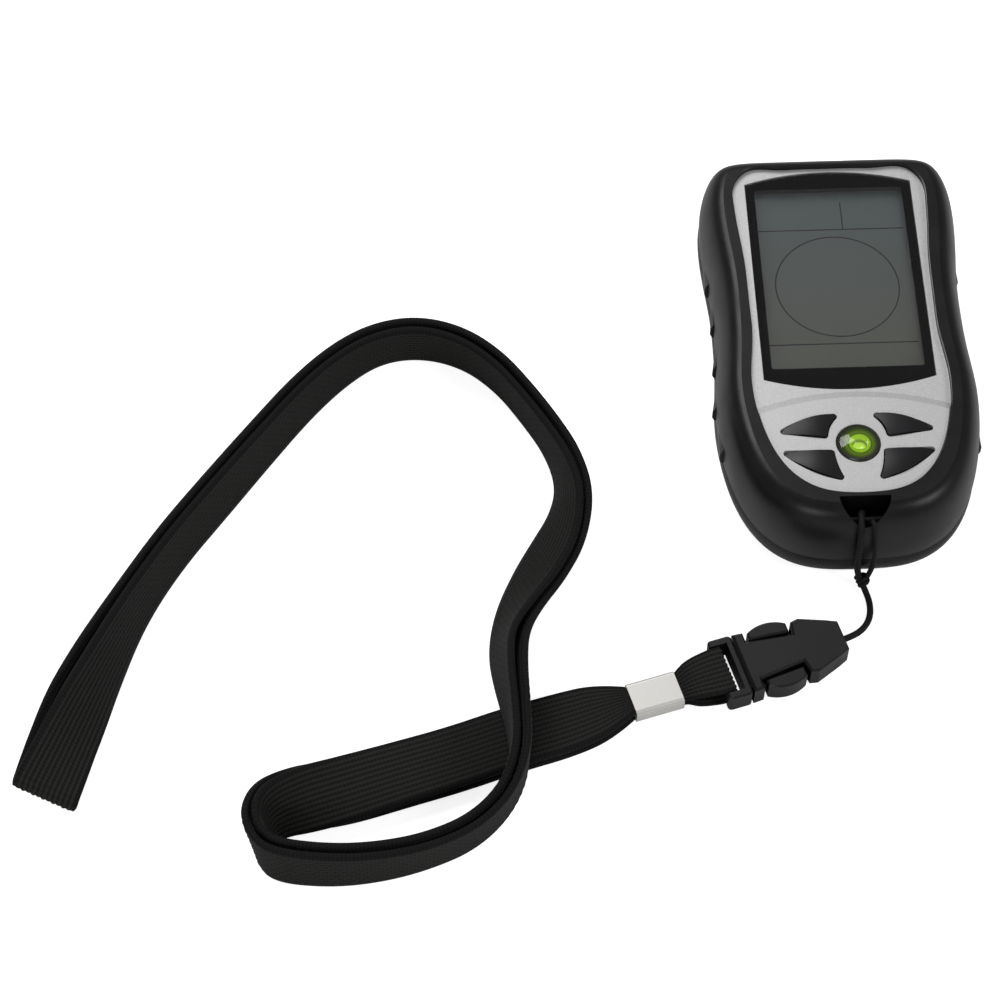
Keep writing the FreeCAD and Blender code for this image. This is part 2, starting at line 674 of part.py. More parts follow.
def battery_door():
    half = BAY_HALF + REBATE - DOOR_GAP
    far = BAY_Y1 + REBATE - DOOR_GAP
    outer = rounded_box(-half, half, HINGE_Y + DOOR_GAP, far, HINGE_Z, REBATE_DEPTH - DOOR_GAP + 0.1, 0.8)
    inner = box(-BAY_HALF + DOOR_GAP, BAY_HALF - DOOR_GAP, HINGE_Y + DOOR_GAP, BAY_Y1 - DOOR_GAP,
                REBATE_DEPTH - DOOR_GAP, FLOOR - 0.1)
    pieces = [inner]
    for side in (-1, 1):
        x = side * (BAY_HALF - DOOR_GAP - TONGUE_WIDTH / 2)
        pieces.append(box(x - TONGUE_WIDTH / 2, x + TONGUE_WIDTH / 2, HINGE_Y + DOOR_GAP, HINGE_Y + 2.0,
                          FLOOR - 0.5, FLOOR + 1.2))
        pieces.append(box(x - TONGUE_WIDTH / 2, x + TONGUE_WIDTH / 2, HINGE_Y - TONGUE_REACH, HINGE_Y + 2.0,
                          FLOOR + 0.2, FLOOR + 1.2))
    door = outer.fuse(pieces)
    grooves = []
    for row in range(4):
        y = BAY_Y1 - 4.0 - 1.6 * row
        grooves.append(box(-5, 5, y, y + 0.8, -1, HINGE_Z + 0.3))
    return door.cut(grooves).removeSplitter()


def case_screws():
    screws = []
    for x, y in both_sides(CASE_SCREW_SPOTS):
        low = 0.9
        head = cylinder(x, y, low, low + CASE_HEAD, CASE_HEAD_RADIUS)
        head = head.makeChamfer(0.3, [e for e in head.Edges if e.BoundBox.ZMax < low + 0.1])
        slot = box(x - 0.3, x + 0.3, y - 1.2, y + 1.2, low - 1, low + 0.6)
        cross = box(x - 1.2, x + 1.2, y - 0.3, y + 0.3, low - 1, low + 0.6)
        shank = cylinder(x, y, low + CASE_HEAD, CEILING_Z - 3.5, CASE_SCREW_RADIUS)
        screws.append(head.fuse(shank).cut([slot, cross]).removeSplitter())
    return Part.makeCompound(screws)


def board_screws():
    screws = []
    for x, y in both_sides(BOARD_SCREW_SPOTS):
        head = cylinder(x, y, BOARD_LOW_Z - BOARD_HEAD, BOARD_LOW_Z, BOARD_HEAD_RADIUS)
        shank = cylinder(x, y, BOARD_LOW_Z, CEILING_Z - 0.6, BOARD_SCREW_RADIUS)
        screws.append(head.fuse(shank).removeSplitter())
    return Part.makeCompound(screws)


def place_buckle(shape):
    shape.rotate(V(0, 0, 0), V(0, 0, 1), BUCKLE_ANGLE)
    shape.translate(V(BUCKLE_AT[0], BUCKLE_AT[1], 0))
    return shape


def buckle_socket():
    side = [(MOUTH_START, BUCKLE_HALF - 0.2), (MOUTH_END, BUCKLE_HALF - 0.4), (MOUTH_END, BRIDGE_NEAR_HALF),
            (WINDOW_END, BRIDGE_FAR_HALF), (WINDOW_END + 0.6, SHOULDER_HALF - 0.4),
            (WINDOW_END + 2.5, SHOULDER_HALF), (BUCKLE_LENGTH - 2.4, BUCKLE_TIP_HALF + 1.1),
            (BUCKLE_LENGTH, BUCKLE_TIP_HALF)]
    body = polygon_prism(side + [(u, -v) for u, v in reversed(side)], 0, BUCKLE_THICKNESS)
    rims = [e for e in body.Edges if abs(e.tangentAt(0).z) < 0.1]
    body = body.makeChamfer(0.5, rims)
    low = BUCKLE_SKIN
    high = BUCKLE_THICKNESS - BUCKLE_SKIN
    room_half = BUCKLE_HALF - 1.3
    room_end = WINDOW_END + 2.0
    room = box(MOUTH_START - 1, room_end, -room_half, room_half, low, high)
    sides_open = box(MOUTH_END, WINDOW_END, -BUCKLE_HALF - 1, BUCKLE_HALF + 1, low, high)
    eye = Part.makeCylinder(EYE_RADIUS, BUCKLE_LENGTH, V(room_end - 1, 0, BUCKLE_THICKNESS / 2), V(1, 0, 0))
    return place_buckle(body.cut([room, sides_open, eye]).removeSplitter())


def buckle_plug():
    frame = rounded_box(FRAME_START, FRAME_END, -BUCKLE_HALF, BUCKLE_HALF, 0.3, BUCKLE_THICKNESS - 0.3, 0.9)
    frame = frame.makeChamfer(0.4, [e for e in frame.Edges if e.BoundBox.ZLength < 0.01])
    slot_half = WEB_WIDTH / 2 + 0.3
    bar_end = FRAME_START + BAR_WIDTH
    slot = box(bar_end, bar_end + FRAME_SLOT, -slot_half, slot_half, -1, BUCKLE_THICKNESS + 1)
    above = box(0, bar_end + 1, -slot_half, slot_half, BUCKLE_THICKNESS - BUCKLE_RELIEF, BUCKLE_THICKNESS + 1)
    below = box(0, bar_end + 1, -slot_half, slot_half, -1, BUCKLE_RELIEF)
    low = BUCKLE_SKIN + 0.15
    high = BUCKLE_THICKNESS - BUCKLE_SKIN - 0.15
    root = box(FRAME_END - 0.5, ARM_PIVOT_U + 1.4, -ARM_PIVOT_V - 1.5, ARM_PIVOT_V + 1.5, low, high)
    guide = box(ARM_PIVOT_U, WINDOW_END - 3.0, -1.1, 1.1, low, high)
    cuts = [slot, above, below]
    middle = (low + high) / 2
    for side in (-1, 1):
        v = side * ARM_PIVOT_V
        fork = cylinder(ARM_PIVOT_U, v, middle - 0.75, middle + 0.75, 1.75)
        fork = fork.fuse(box(ARM_PIVOT_U, ARM_PIVOT_U + 3, min(v - 1.75, v + 1.75), max(v - 1.75, v + 1.75),
                             middle - 0.75, middle + 0.75))
        cuts.append(fork)
    plug = frame.fuse([root, guide]).cut(cuts)
    pins = [cylinder(ARM_PIVOT_U, side * ARM_PIVOT_V, low, high, ARM_PIN_RADIUS) for side in (-1, 1)]
    return place_buckle(plug.fuse(pins).removeSplitter())


def buckle_arm(side):
    low = BUCKLE_SKIN + 0.15
    high = BUCKLE_THICKNESS - BUCKLE_SKIN - 0.15
    middle = (low + high) / 2
    eye = cylinder(ARM_PIVOT_U, ARM_PIVOT_V, middle - 0.6, middle + 0.6, 1.4)
    web_outline = [(ARM_PIVOT_U, ARM_PIVOT_V - 0.9), (MOUTH_END + 2.4, ARM_PIVOT_V - 1.2),
                   (WINDOW_END - 0.8, ARM_PIVOT_V - 0.2), (WINDOW_END - 0.8, ARM_PIVOT_V + 1.6),
                   (MOUTH_END + 2.4, ARM_PIVOT_V + 1.4), (ARM_PIVOT_U, ARM_PIVOT_V + 0.9)]
    web = polygon_prism(web_outline, middle - 0.6, middle + 0.6)
    near = MOUTH_END + 1.0
    far = WINDOW_END - 0.4
    a, b = V(near, BUCKLE_HALF - 0.7, 0), V(near + 4.2, BUCKLE_HALF + 0.6, 0)
    c, d = V(far, SHOULDER_HALF - 0.1, 0), V(far, BRIDGE_FAR_HALF + 1.05, 0)
    e = V(near, BRIDGE_NEAR_HALF + 0.35, 0)
    sides = [Part.Arc(a, b, c), Part.LineSegment(c, d), Part.LineSegment(d, e), Part.LineSegment(e, a)]
    pad = prism([line.toShape() for line in sides], 0.4, BUCKLE_THICKNESS - 0.4)
    pad = pad.makeChamfer(0.4, [edge for edge in pad.Edges if edge.BoundBox.ZLength < 0.01])
    bore = cylinder(ARM_PIVOT_U, ARM_PIVOT_V, 0, BUCKLE_THICKNESS, ARM_PIN_RADIUS + PIN_GAP)
    arm = web.fuse([eye, pad]).cut(bore).removeSplitter()
    if side < 0:
        arm = arm.mirror(V(0, 0, 0), V(0, 1, 0))
    return place_buckle(arm)


def buckle_heading():
    return V(math.cos(math.radians(BUCKLE_ANGLE)), math.sin(math.radians(BUCKLE_ANGLE)), 0)


def strap_crimp():
    half_length = CRIMP_LENGTH / 2
    half_width = CRIMP_WIDTH / 2
    sleeve = box(-half_length, half_length, -half_width, half_width, 0.0, CRIMP_HEIGHT)
    sleeve = sleeve.makeFillet(0.9, [e for e in sleeve.Edges if abs(e.tangentAt(0).x) > 0.9])
    hollow = box(-half_length - 1, half_length + 1, -half_width + CRIMP_SHEET, half_width - CRIMP_SHEET,
                 CRIMP_SHEET, CRIMP_HEIGHT - CRIMP_SHEET)
    hollow = hollow.makeFillet(0.5, [e for e in hollow.Edges if abs(e.tangentAt(0).x) > 0.9])
    seam = box(-half_length - 1, half_length + 1, -0.15, 0.15, -1, CRIMP_SHEET + 0.1)
    clip = sleeve.cut([hollow, seam])
    clip.rotate(V(0, 0, 0), V(0, 0, 1), BUCKLE_ANGLE)
    clip.translate(V(CRIMP_AT[0], CRIMP_AT[1], 0))
    return clip


def section(centre, across, up, width, thickness):
    a = across * (width / 2)
    b = up * (thickness / 2)
    corners = [centre - a - b, centre + a - b, centre + a + b, centre - a + b]
    return Part.makePolygon(corners + corners[:1])


def strap_tab():
    # the webbing leaves the crimp, goes round the plug's strap bar and comes back, two layers lying flat
    heading = buckle_heading()
    across = V(-heading.y, heading.x, 0)
    up = V(0, 0, 1)
    start = V(CRIMP_AT[0], CRIMP_AT[1], 0) - heading * (CRIMP_LENGTH / 2 - 0.4)
    bar_end = V(BUCKLE_AT[0], BUCKLE_AT[1], 0) + heading * (FRAME_START + BAR_WIDTH)
    span = (bar_end - start).Length
    narrow = CRIMP_WIDTH - 2 * CRIMP_SHEET - 0.2
    middle = BUCKLE_THICKNESS / 2
    apart = middle - BUCKLE_RELIEF + WEB_THICKNESS / 2 + 0.05
    layers = []
    for side in (-1, 1):
        stations = [(0.0, narrow, CRIMP_HEIGHT / 2 + side * (WEB_THICKNESS / 2 + 0.05)),
                    (CRIMP_LENGTH - 0.2, narrow, CRIMP_HEIGHT / 2 + side * (WEB_THICKNESS / 2 + 0.05)),
                    (CRIMP_LENGTH + 1.4, WEB_NARROW, middle + side * (0.45 * apart)),
                    (CRIMP_LENGTH + 4.0, (WEB_NARROW + WEB_WIDTH) / 2, middle + side * (0.85 * apart)),
                    (span - BAR_WIDTH - 0.3, WEB_WIDTH, middle + side * apart),
                    (span + 0.3, WEB_WIDTH, middle + side * apart)]
        wires = [section(start + heading * s + V(0, 0, z), across, up, width, WEB_THICKNESS)
                 for s, width, z in stations]
        layers.append(Part.makeLoft(wires, True, True))
    end = start + heading * (span + 0.3)
    half_height = apart + WEB_THICKNESS / 2
    turn = section(end + V(0, 0, middle), across, up, WEB_WIDTH, 2 * half_height)
    nose = Part.Face(turn).extrude(heading * WEB_THICKNESS)
    nose = nose.makeChamfer(0.5, [e for e in nose.Edges if abs(e.tangentAt(0).dot(across)) > 0.99
                                  and (e.CenterOfMass - end).dot(heading) > 1.0])
    return layers[0].fuse([layers[1], nose]).removeSplitter()


def tube(points, diameter):
    # straight runs joined by tangent arcs, each arc as large as its two runs allow
    nodes = [V(*point) for point in points]
    edges = []
    radii = []
    at = nodes[0]
    for before, here, after in zip(nodes, nodes[1:], nodes[2:]):
        into = here - before
        out = after - here
        reach = 0.45 * min(into.Length, out.Length)
        into.normalize()
        out.normalize()
        half_turn = into.getAngle(out) / 2
        radii.append(reach / math.tan(half_turn))
        start = here - into * reach
        end = here + out * reach
        inward = out - into
        inward.normalize()
        sagitta = radii[-1] * (1 / math.cos(half_turn) - 1)
        edges.append(Part.LineSegment(at, start).toShape())
        edges.append(Part.Arc(start, here + inward * sagitta, end).toShape())
        at = end
    edges.append(Part.LineSegment(at, nodes[-1]).toShape())
    path = Part.Wire(edges)
    heading = nodes[1] - nodes[0]
    heading.normalize()
    first = heading.cross(V(1, 0, 0))
    first.normalize()
    second = heading.cross(first)
    corners = []
    for index in range(TUBE_SIDES):
        angle = 2 * math.pi * index / TUBE_SIDES
        turned = first * math.cos(angle) + second * math.sin(angle)
        corners.append(nodes[0] + turned * (diameter / 2))
    solid = path.makePipeShell([Part.makePolygon(corners + corners[:1])], True, False)
    expected = TUBE_SIDES * diameter ** 2 / 8 * math.sin(2 * math.pi / TUBE_SIDES) * path.Length
    print("tube length", round(path.Length, 1), "radii", [round(r, 1) for r in radii],
          "volume ratio", round(solid.Volume / expected, 4))
    return solid


# The tether starts behind the pocket's bar and goes over the rim, down to the knot and on to the buckle's eye
KNOT = (0.5, -56.0, 2.9)
TETHER_ROUTE = [(-0.2, -47.7, 18.2), (-0.8, -48.3, 20.1), (-1.0, -50.6, 21.0), (-1.2, -53.2, 20.4),
                (-1.2, -54.9, 17.4), (-1.3, -55.2, 13.0), (-1.2, -55.1, 8.2), (-0.6, -55.5, 4.2),
                (0.9, -57.4, 1.6), (1.9, -61.1, 1.1), (1.5, -65.0, 1.2), (-0.5, -68.4, 1.9),
                (-3.6, -70.8, 2.8), (-7.6, -72.3, 3.1)]
LEG_ROUTE = [(0.55, -47.9, 17.0), (1.0, -49.4, 16.3), (1.3, -50.8, 17.5), (1.3, -50.7, 19.6),
             (1.5, -52.1, 21.6), (1.8, -54.3, 21.0), (2.2, -55.2, 16.8), (2.5, -55.3, 12.0),
             (2.4, -55.4, 7.6), (1.5, -55.9, 4.5)]


def tether_knot():
    # the shorter leg ends at this knot, which is pulled tight round the tether
    return Part.makeSphere(KNOT_RADIUS, V(*KNOT)).cut(tube(TETHER_ROUTE, TETHER_DIAMETER + 0.2))


# The strap: x, y, height of its lower edge, lean (0 lies flat, 90 stands on edge), width, gap between strands
STRAP_ROUTE = [
    (-54.2, -85.8, 0.25, 0, 7.2, 0.0), (-60.0, -87.6, 0.1, 0, 13.0, 0.0),
    (-69.0, -90.7, 0.1, 0, 15.0, 0.0), (-81.0, -94.1, 0.1, 0, 15.0, 0.0),
    (-93.0, -98.3, 0.1, 0, 15.0, 0.0), (-106.0, -102.2, 0.1, 4, 15.0, 0.0),
    (-118.0, -106.2, 0.1, 14, 15.0, 0.0), (-126.5, -109.0, 0.1, 36, 15.0, 0.0),
    (-133.5, -111.8, 0.1, 58, 15.0, 0.0), (-136.1, -115.9, 0.1, 74, 15.0, 0.0),
    (-135.6, -120.6, 0.1, 86, 15.0, 0.0), (-132.2, -124.1, 0.1, 90, 15.0, 0.0),
    (-120.5, -125.8, 0.1, 88, 15.0, 0.0),
    (-110.0, -125.3, 0.1, 85, 15.0, 0.0), (-100.0, -123.2, 0.1, 82, 15.0, 0.0),
    (-90.0, -119.0, 0.3, 82, 15.0, 0.0), (-82.6, -112.6, 2.7, 84, 15.0, 0.0),
    (-79.0, -104.3, 5.3, 88, 15.0, 0.0), (-79.2, -94.5, 5.3, 86, 15.0, 0.0),
    (-80.6, -83.5, 4.9, 78, 15.0, 0.6), (-80.8, -73.5, 1.6, 70, 15.0, 0.9),
    (-78.2, -64.0, 0.1, 54, 15.0, 0.0), (-73.0, -54.5, 0.1, 42, 15.0, 0.0),
    (-68.0, -45.5, 0.1, 44, 15.0, 0.0), (-64.8, -36.0, 0.1, 62, 15.0, 0.0),
    (-65.2, -26.5, 0.1, 82, 15.0, 0.0), (-68.8, -17.0, 0.1, 92, 15.0, 0.0),
    (-74.0, -8.0, 0.1, 94, 15.0, 0.0), (-80.0, 1.0, 0.1, 96, 15.0, 0.0),
    (-88.0, 8.3, 0.1, 98, 15.0, 0.0), (-98.0, 11.9, 0.1, 98, 15.0, 0.0),
    (-108.0, 10.9, 0.1, 98, 15.0, 0.0), (-117.0, 5.6, 0.1, 92, 15.0, 0.0),
    (-126.5, -4.0, 0.1, 88, 15.0, 0.0), (-137.0, -18.0, 0.1, 86, 15.0, 0.0),
    (-146.6, -31.2, 0.1, 84, 15.0, 0.0), (-156.6, -45.0, 0.1, 84, 15.0, 0.0),
    (-165.2, -60.0, 0.1, 80, 15.0, 0.0), (-172.4, -76.0, 0.1, 66, 15.0, 1.6),
    (-177.6, -90.0, 0.1, 46, 15.0, 3.0), (-182.4, -104.0, 0.1, 20, 15.0, 0.0)]


def smooth_stations(route):
    # the plan path of straight runs and tangent arcs, as places with their heading and share of the route
    stations = []
    nodes = [V(x, y, 0) for x, y, *rest in route]
    stations.append((nodes[0], nodes[1] - nodes[0], 0.0))
    radii = []
    for index in range(1, len(nodes) - 1):
        here = nodes[index]
        into = here - nodes[index - 1]
        out = nodes[index + 1] - here
        reach = 0.45 * min(into.Length, out.Length)
        before = reach / into.Length
        after = reach / out.Length
        into.normalize()
        out.normalize()
        turn = into.getAngle(out)
        radius = reach / math.tan(turn / 2)
        radii.append(round(radius, 1))
        steps = math.ceil(math.degrees(turn) / ARC_STEP)
        spin = 1 if into.x * out.y - into.y * out.x > 0 else -1
        centre = here - into * reach + V(-into.y, into.x, 0) * (spin * radius)
        for step in range(steps + 1):
            angle = turn * step / steps
            heading = into * math.cos(angle) + V(-into.y, into.x, 0) * (spin * math.sin(angle))
            place = centre + V(heading.y, -heading.x, 0) * (spin * radius)
            share = index - before + (before + after) * step / steps
            stations.append((place, heading, share))
    stations.append((nodes[-1], nodes[-1] - nodes[-2], len(nodes) - 1.0))
    return stations, radii


def strap_sections(side):
    # the outline of one strand, square to the route, at every station
    stations, radii = smooth_stations(STRAP_ROUTE)
    outlines = []
    for place, heading, share in stations:
        index = min(int(share), len(STRAP_ROUTE) - 2)
        part_way = share - index
        low, lean, width, spread = [a + (b - a) * part_way
                                    for a, b in zip(STRAP_ROUTE[index][2:], STRAP_ROUTE[index + 1][2:])]
        apart = STRAP_THICKNESS + STRAND_GAP + spread
        bundle = apart + STRAP_THICKNESS
        heading.normalize()
        right = V(heading.y, -heading.x, 0)
        tilt = math.radians(lean)
        across = right * math.cos(tilt) + V(0, 0, math.sin(tilt))
        out = heading.cross(across)
        rise = width / 2 * abs(math.sin(tilt)) + bundle / 2 * abs(math.cos(tilt))
        centre = place + V(0, 0, low + rise) + out * (side * apart / 2)
        outlines.append(section(centre, across, out, width, STRAP_THICKNESS))
    length = sum((b[0] - a[0]).Length for a, b in zip(stations, stations[1:]))
    return outlines, length, radii


def strand(side):
    outlines, length, radii = strap_sections(side)
    solid = Part.makeLoft(outlines, True, True)
    ratio = solid.Volume / (STRAP_WIDTH * STRAP_THICKNESS * length)
    print("strand length", round(length, 1), "radii", radii, "volume ratio", round(ratio, 3))
    return solid


def strap_fold():
    # the far end, where the strap turns back on itself: a nose that closes both strands
    near = strap_sections(1)[0][-1]
    far = strap_sections(-1)[0][-1]
    a, b, c, d = [vertex.Point for vertex in near.OrderedVertexes]
    e, f, g, h = [vertex.Point for vertex in far.OrderedVertexes]
    heading = (b - a).cross(d - a)
    heading.normalize()
    if heading.y > 0:
        heading = heading * -1
    first = Part.makePolygon([e, f, c, d, e])
    upright = (d - e) * 0.5
    tip = [e + upright * 0.5, f + upright * 0.5, c - upright * 0.5, d - upright * 0.5]
    second = Part.makePolygon([corner + heading * STRAP_THICKNESS for corner in tip + tip[:1]])
    return Part.makeLoft([first, second], True, True)


def main():
    os.makedirs("parts", exist_ok=True)
    nodes = {
        "front_shell": front_shell(),
        "back_shell": back_shell(),
        "face_plate": face_plate(),
        "lens_gasket": lens_gasket(),
        "display_lens": display_lens(),
        "lcd_panel": lcd_panel(),
        "light_guide": light_guide(),
        "elastomer_connectors": elastomer_connectors(),
        "main_board": main_board(),
        "display_driver": display_driver(),
        "pressure_sensor": pressure_sensor(),
        "compass_sensor": compass_sensor(),
        "clock_crystal": clock_crystal(),
        "buzzer": buzzer(),
        "board_parts": board_parts(),
        "level_cup": level_cup(),
        "level_fluid": level_fluid(),
        "level_cap": level_cap(),
        "cell_left": cell(-1),
        "cell_right": cell(1),
        "battery_contacts": battery_contacts(),
        "battery_springs": battery_springs(),
        "battery_door": battery_door(),
        "case_screws": case_screws(),
        "board_screws": board_screws(),
        "buckle_socket": buckle_socket(),
        "buckle_plug": buckle_plug(),
        "buckle_arm_left": buckle_arm(1),
        "buckle_arm_right": buckle_arm(-1),
        "strap_crimp": strap_crimp(),
        "strap_tab": strap_tab(),
        "tether_cord": tube(TETHER_ROUTE, TETHER_DIAMETER),
        "tether_leg": tube(LEG_ROUTE, LEG_DIAMETER),
        "tether_knot": tether_knot(),
        "strap_strand_inner": strand(1),
        "strap_strand_outer": strand(-1),
        "strap_fold": strap_fold(),
    }
    for name, corners, side in key_places():
        nodes[name] = key_cap(corners, side)
        nodes[name.replace("key", "snap_dome")] = snap_dome(corners, side)
    for name, shape in nodes.items():
        print(name, len(shape.Solids), "valid" if shape.isValid() else "NOT VALID", round(shape.Volume, 1))
        shape.exportStep("parts/" + name + ".step")


main()
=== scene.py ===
import math

import bpy
from mathutils import Matrix, Vector


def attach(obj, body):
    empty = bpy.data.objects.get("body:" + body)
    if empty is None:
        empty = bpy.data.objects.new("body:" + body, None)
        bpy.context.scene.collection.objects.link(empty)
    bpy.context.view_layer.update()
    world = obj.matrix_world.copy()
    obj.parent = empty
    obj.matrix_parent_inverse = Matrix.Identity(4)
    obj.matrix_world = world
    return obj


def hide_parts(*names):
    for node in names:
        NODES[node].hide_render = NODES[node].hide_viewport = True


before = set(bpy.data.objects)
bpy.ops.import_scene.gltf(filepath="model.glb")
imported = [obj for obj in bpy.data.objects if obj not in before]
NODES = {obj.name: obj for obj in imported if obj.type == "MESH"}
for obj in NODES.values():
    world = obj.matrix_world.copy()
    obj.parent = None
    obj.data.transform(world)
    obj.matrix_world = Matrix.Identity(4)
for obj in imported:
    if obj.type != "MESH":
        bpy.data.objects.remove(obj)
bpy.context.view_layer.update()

# The photograph's camera, in degrees and metres
LENS_MM = 107.8
SENSOR_MM = 36.0
CLIP_NEAR = 0.05
CLIP_FAR = 20.0
ELEVATION = 57.31
YAW = -2.0
TARGET = Vector((-0.0809, -0.0299, 0.0))
DISTANCE = 0.6977

# Cords and webbing, in metres
TETHER_DIAMETER = 0.0015
LEG_DIAMETER = 0.0012
STRAP_WIDTH = 0.015
STRAP_THICKNESS = 0.002
STRAND_GAP = 0.00045
STRAP_RIBS = 11
TAB_RIBS = 9
RIB_STEPS = 4
RIB_DEPTH = 0.00022
KNIT_PITCH = 0.0019
KNIT_DEPTH = 0.00006
YARN_PITCH = 0.00085
YARN_SHARE = 0.28
GATHER_LIMIT = 1.6
RIM_ANGLES = (45, 0, -45)
RING_SPACING = 0.0006
FOLD_STEPS = 14
CORD_RESOLUTION = 12
CORD_BEVEL = 4
LINE_RESOLUTION = 24

# The routes of the tether's two legs, repeated from the part's source
TETHER_ROUTE = [(-0.0002, -0.0477, 0.0182), (-0.0008, -0.0483, 0.0201), (-0.0010, -0.0506, 0.0210),
                (-0.0012, -0.0532, 0.0204), (-0.0012, -0.0549, 0.0174), (-0.0013, -0.0552, 0.0130),
                (-0.0012, -0.0551, 0.0082), (-0.0006, -0.0555, 0.0042), (0.0009, -0.0574, 0.0016),
                (0.0019, -0.0611, 0.0011), (0.0015, -0.0650, 0.0012), (-0.0005, -0.0684, 0.0019),
                (-0.0036, -0.0708, 0.0028), (-0.0076, -0.0723, 0.0031)]
LEG_ROUTE = [(0.00055, -0.0479, 0.0170), (0.0010, -0.0494, 0.0163), (0.0013, -0.0508, 0.0175),
             (0.0013, -0.0507, 0.0196), (0.0015, -0.0521, 0.0216), (0.0018, -0.0543, 0.0210),
             (0.0022, -0.0552, 0.0168), (0.0025, -0.0553, 0.0120), (0.0024, -0.0554, 0.0076),
             (0.0015, -0.0559, 0.0045)]

# The knot is a cord wound round the tether between two of its route's points
KNOT = Vector((0.0005, -0.0560, 0.0029))
KNOT_BETWEEN = (7, 8)
KNOT_DIAMETER = 0.00105
KNOT_STEPS = 30
KNOT_STEPS_PER_TURN = 12
KNOT_HALF_LENGTH = 0.0013
KNOT_REACH = 0.00112
KNOT_END_REACH = 0.0007

# The strap, repeated from the part's source: x, y, height of its lower edge, lean in degrees
# (0 lies flat, 90 stands on edge), width, and the gap by which the two strands part
STRAP_ROUTE = [
    (-0.0542, -0.0858, 0.00025, 0, 0.0072, 0), (-0.0600, -0.0876, 0.0001, 0, 0.013, 0),
    (-0.0690, -0.0907, 0.0001, 0, 0.015, 0), (-0.0810, -0.0941, 0.0001, 0, 0.015, 0),
    (-0.0930, -0.0983, 0.0001, 0, 0.015, 0), (-0.1060, -0.1022, 0.0001, 4, 0.015, 0),
    (-0.1180, -0.1062, 0.0001, 14, 0.015, 0), (-0.1265, -0.1090, 0.0001, 36, 0.015, 0),
    (-0.1335, -0.1118, 0.0001, 58, 0.015, 0), (-0.1361, -0.1159, 0.0001, 74, 0.015, 0),
    (-0.1356, -0.1206, 0.0001, 86, 0.015, 0), (-0.1322, -0.1241, 0.0001, 90, 0.015, 0),
    (-0.1205, -0.1258, 0.0001, 88, 0.015, 0), (-0.1100, -0.1253, 0.0001, 85, 0.015, 0),
    (-0.1000, -0.1232, 0.0001, 82, 0.015, 0), (-0.0900, -0.1190, 0.0003, 82, 0.015, 0),
    (-0.0826, -0.1126, 0.0027, 84, 0.015, 0), (-0.0790, -0.1043, 0.0053, 88, 0.015, 0),
    (-0.0792, -0.0945, 0.0053, 86, 0.015, 0), (-0.0806, -0.0835, 0.0049, 78, 0.015, 0.0006),
    (-0.0808, -0.0735, 0.0016, 70, 0.015, 0.0009), (-0.0782, -0.0640, 0.0001, 54, 0.015, 0),
    (-0.0730, -0.0545, 0.0001, 42, 0.015, 0), (-0.0680, -0.0455, 0.0001, 44, 0.015, 0),
    (-0.0648, -0.0360, 0.0001, 62, 0.015, 0), (-0.0652, -0.0265, 0.0001, 82, 0.015, 0),
    (-0.0688, -0.0170, 0.0001, 92, 0.015, 0), (-0.0740, -0.0080, 0.0001, 94, 0.015, 0),
    (-0.0800, 0.0010, 0.0001, 96, 0.015, 0), (-0.0880, 0.0083, 0.0001, 98, 0.015, 0),
    (-0.0980, 0.0119, 0.0001, 98, 0.015, 0), (-0.1080, 0.0109, 0.0001, 98, 0.015, 0),
    (-0.1170, 0.0056, 0.0001, 92, 0.015, 0), (-0.1265, -0.0040, 0.0001, 88, 0.015, 0),
    (-0.1370, -0.0180, 0.0001, 86, 0.015, 0), (-0.1466, -0.0312, 0.0001, 84, 0.015, 0),
    (-0.1566, -0.0450, 0.0001, 84, 0.015, 0), (-0.1652, -0.0600, 0.0001, 80, 0.015, 0),
    (-0.1724, -0.0760, 0.0001, 66, 0.015, 0.0016), (-0.1776, -0.0900, 0.0001, 46, 0.015, 0.003),
    (-0.1824, -0.1040, 0.0001, 20, 0.015, 0)]

# Webbing tab between the crimp and the buckle's strap bar. The two _AT pairs are the way past the crimp's
# end and the share of the tab's drop that is reached there
BUCKLE_AT = Vector((-0.0353, -0.0803, 0.0))
CRIMP_AT = Vector((-0.0486, -0.0841, 0.0))
BUCKLE_ANGLE = 16.0
BUCKLE_MIDDLE_Z = 0.0031
CRIMP_LENGTH = 0.0112
CRIMP_MIDDLE_Z = 0.0021
TAB_THICKNESS = 0.00115
TAB_NARROW = 0.0070
TAB_SHOULDER = 0.0088
TAB_WIDTH = 0.0116
TAB_RISE = 0.002425
TAB_TURN_U = 0.003175
TAB_LAYER_GAP = 0.0001
TAB_INSET = 0.0004
TAB_LEAVES = -0.0006
TAB_SHOULDER_AT = (0.0012, 0.42)
TAB_SPREAD_AT = (0.0034, 0.88)
TAB_FLAT_FROM = 0.0030
TAB_TURN_FROM = 0.0009

# Marks on the display, as in the part's frame
LCD_TOP_Z = 0.0190
DISPLAY_HALF = 0.0177
DISPLAY_TOP_Y = 0.0426
UPPER_LINE_Y = 0.0318
LOWER_LINE_Y = -0.0016
DIVIDER_X = 0.0029
CIRCLE_Y = 0.0150
CIRCLE_RADIUS = 0.01455
LINE_WIDTH = 0.0003

# Printed lines: how far they stop short of the display's edges, and their height on it
MARK_SIDE_MARGIN = 0.0003
DIVIDER_MARGINS = (0.0002, 0.0027)
MARK_LIFT = 0.00001
MARK_HEIGHT = 0.00003
CIRCLE_STEPS = 96

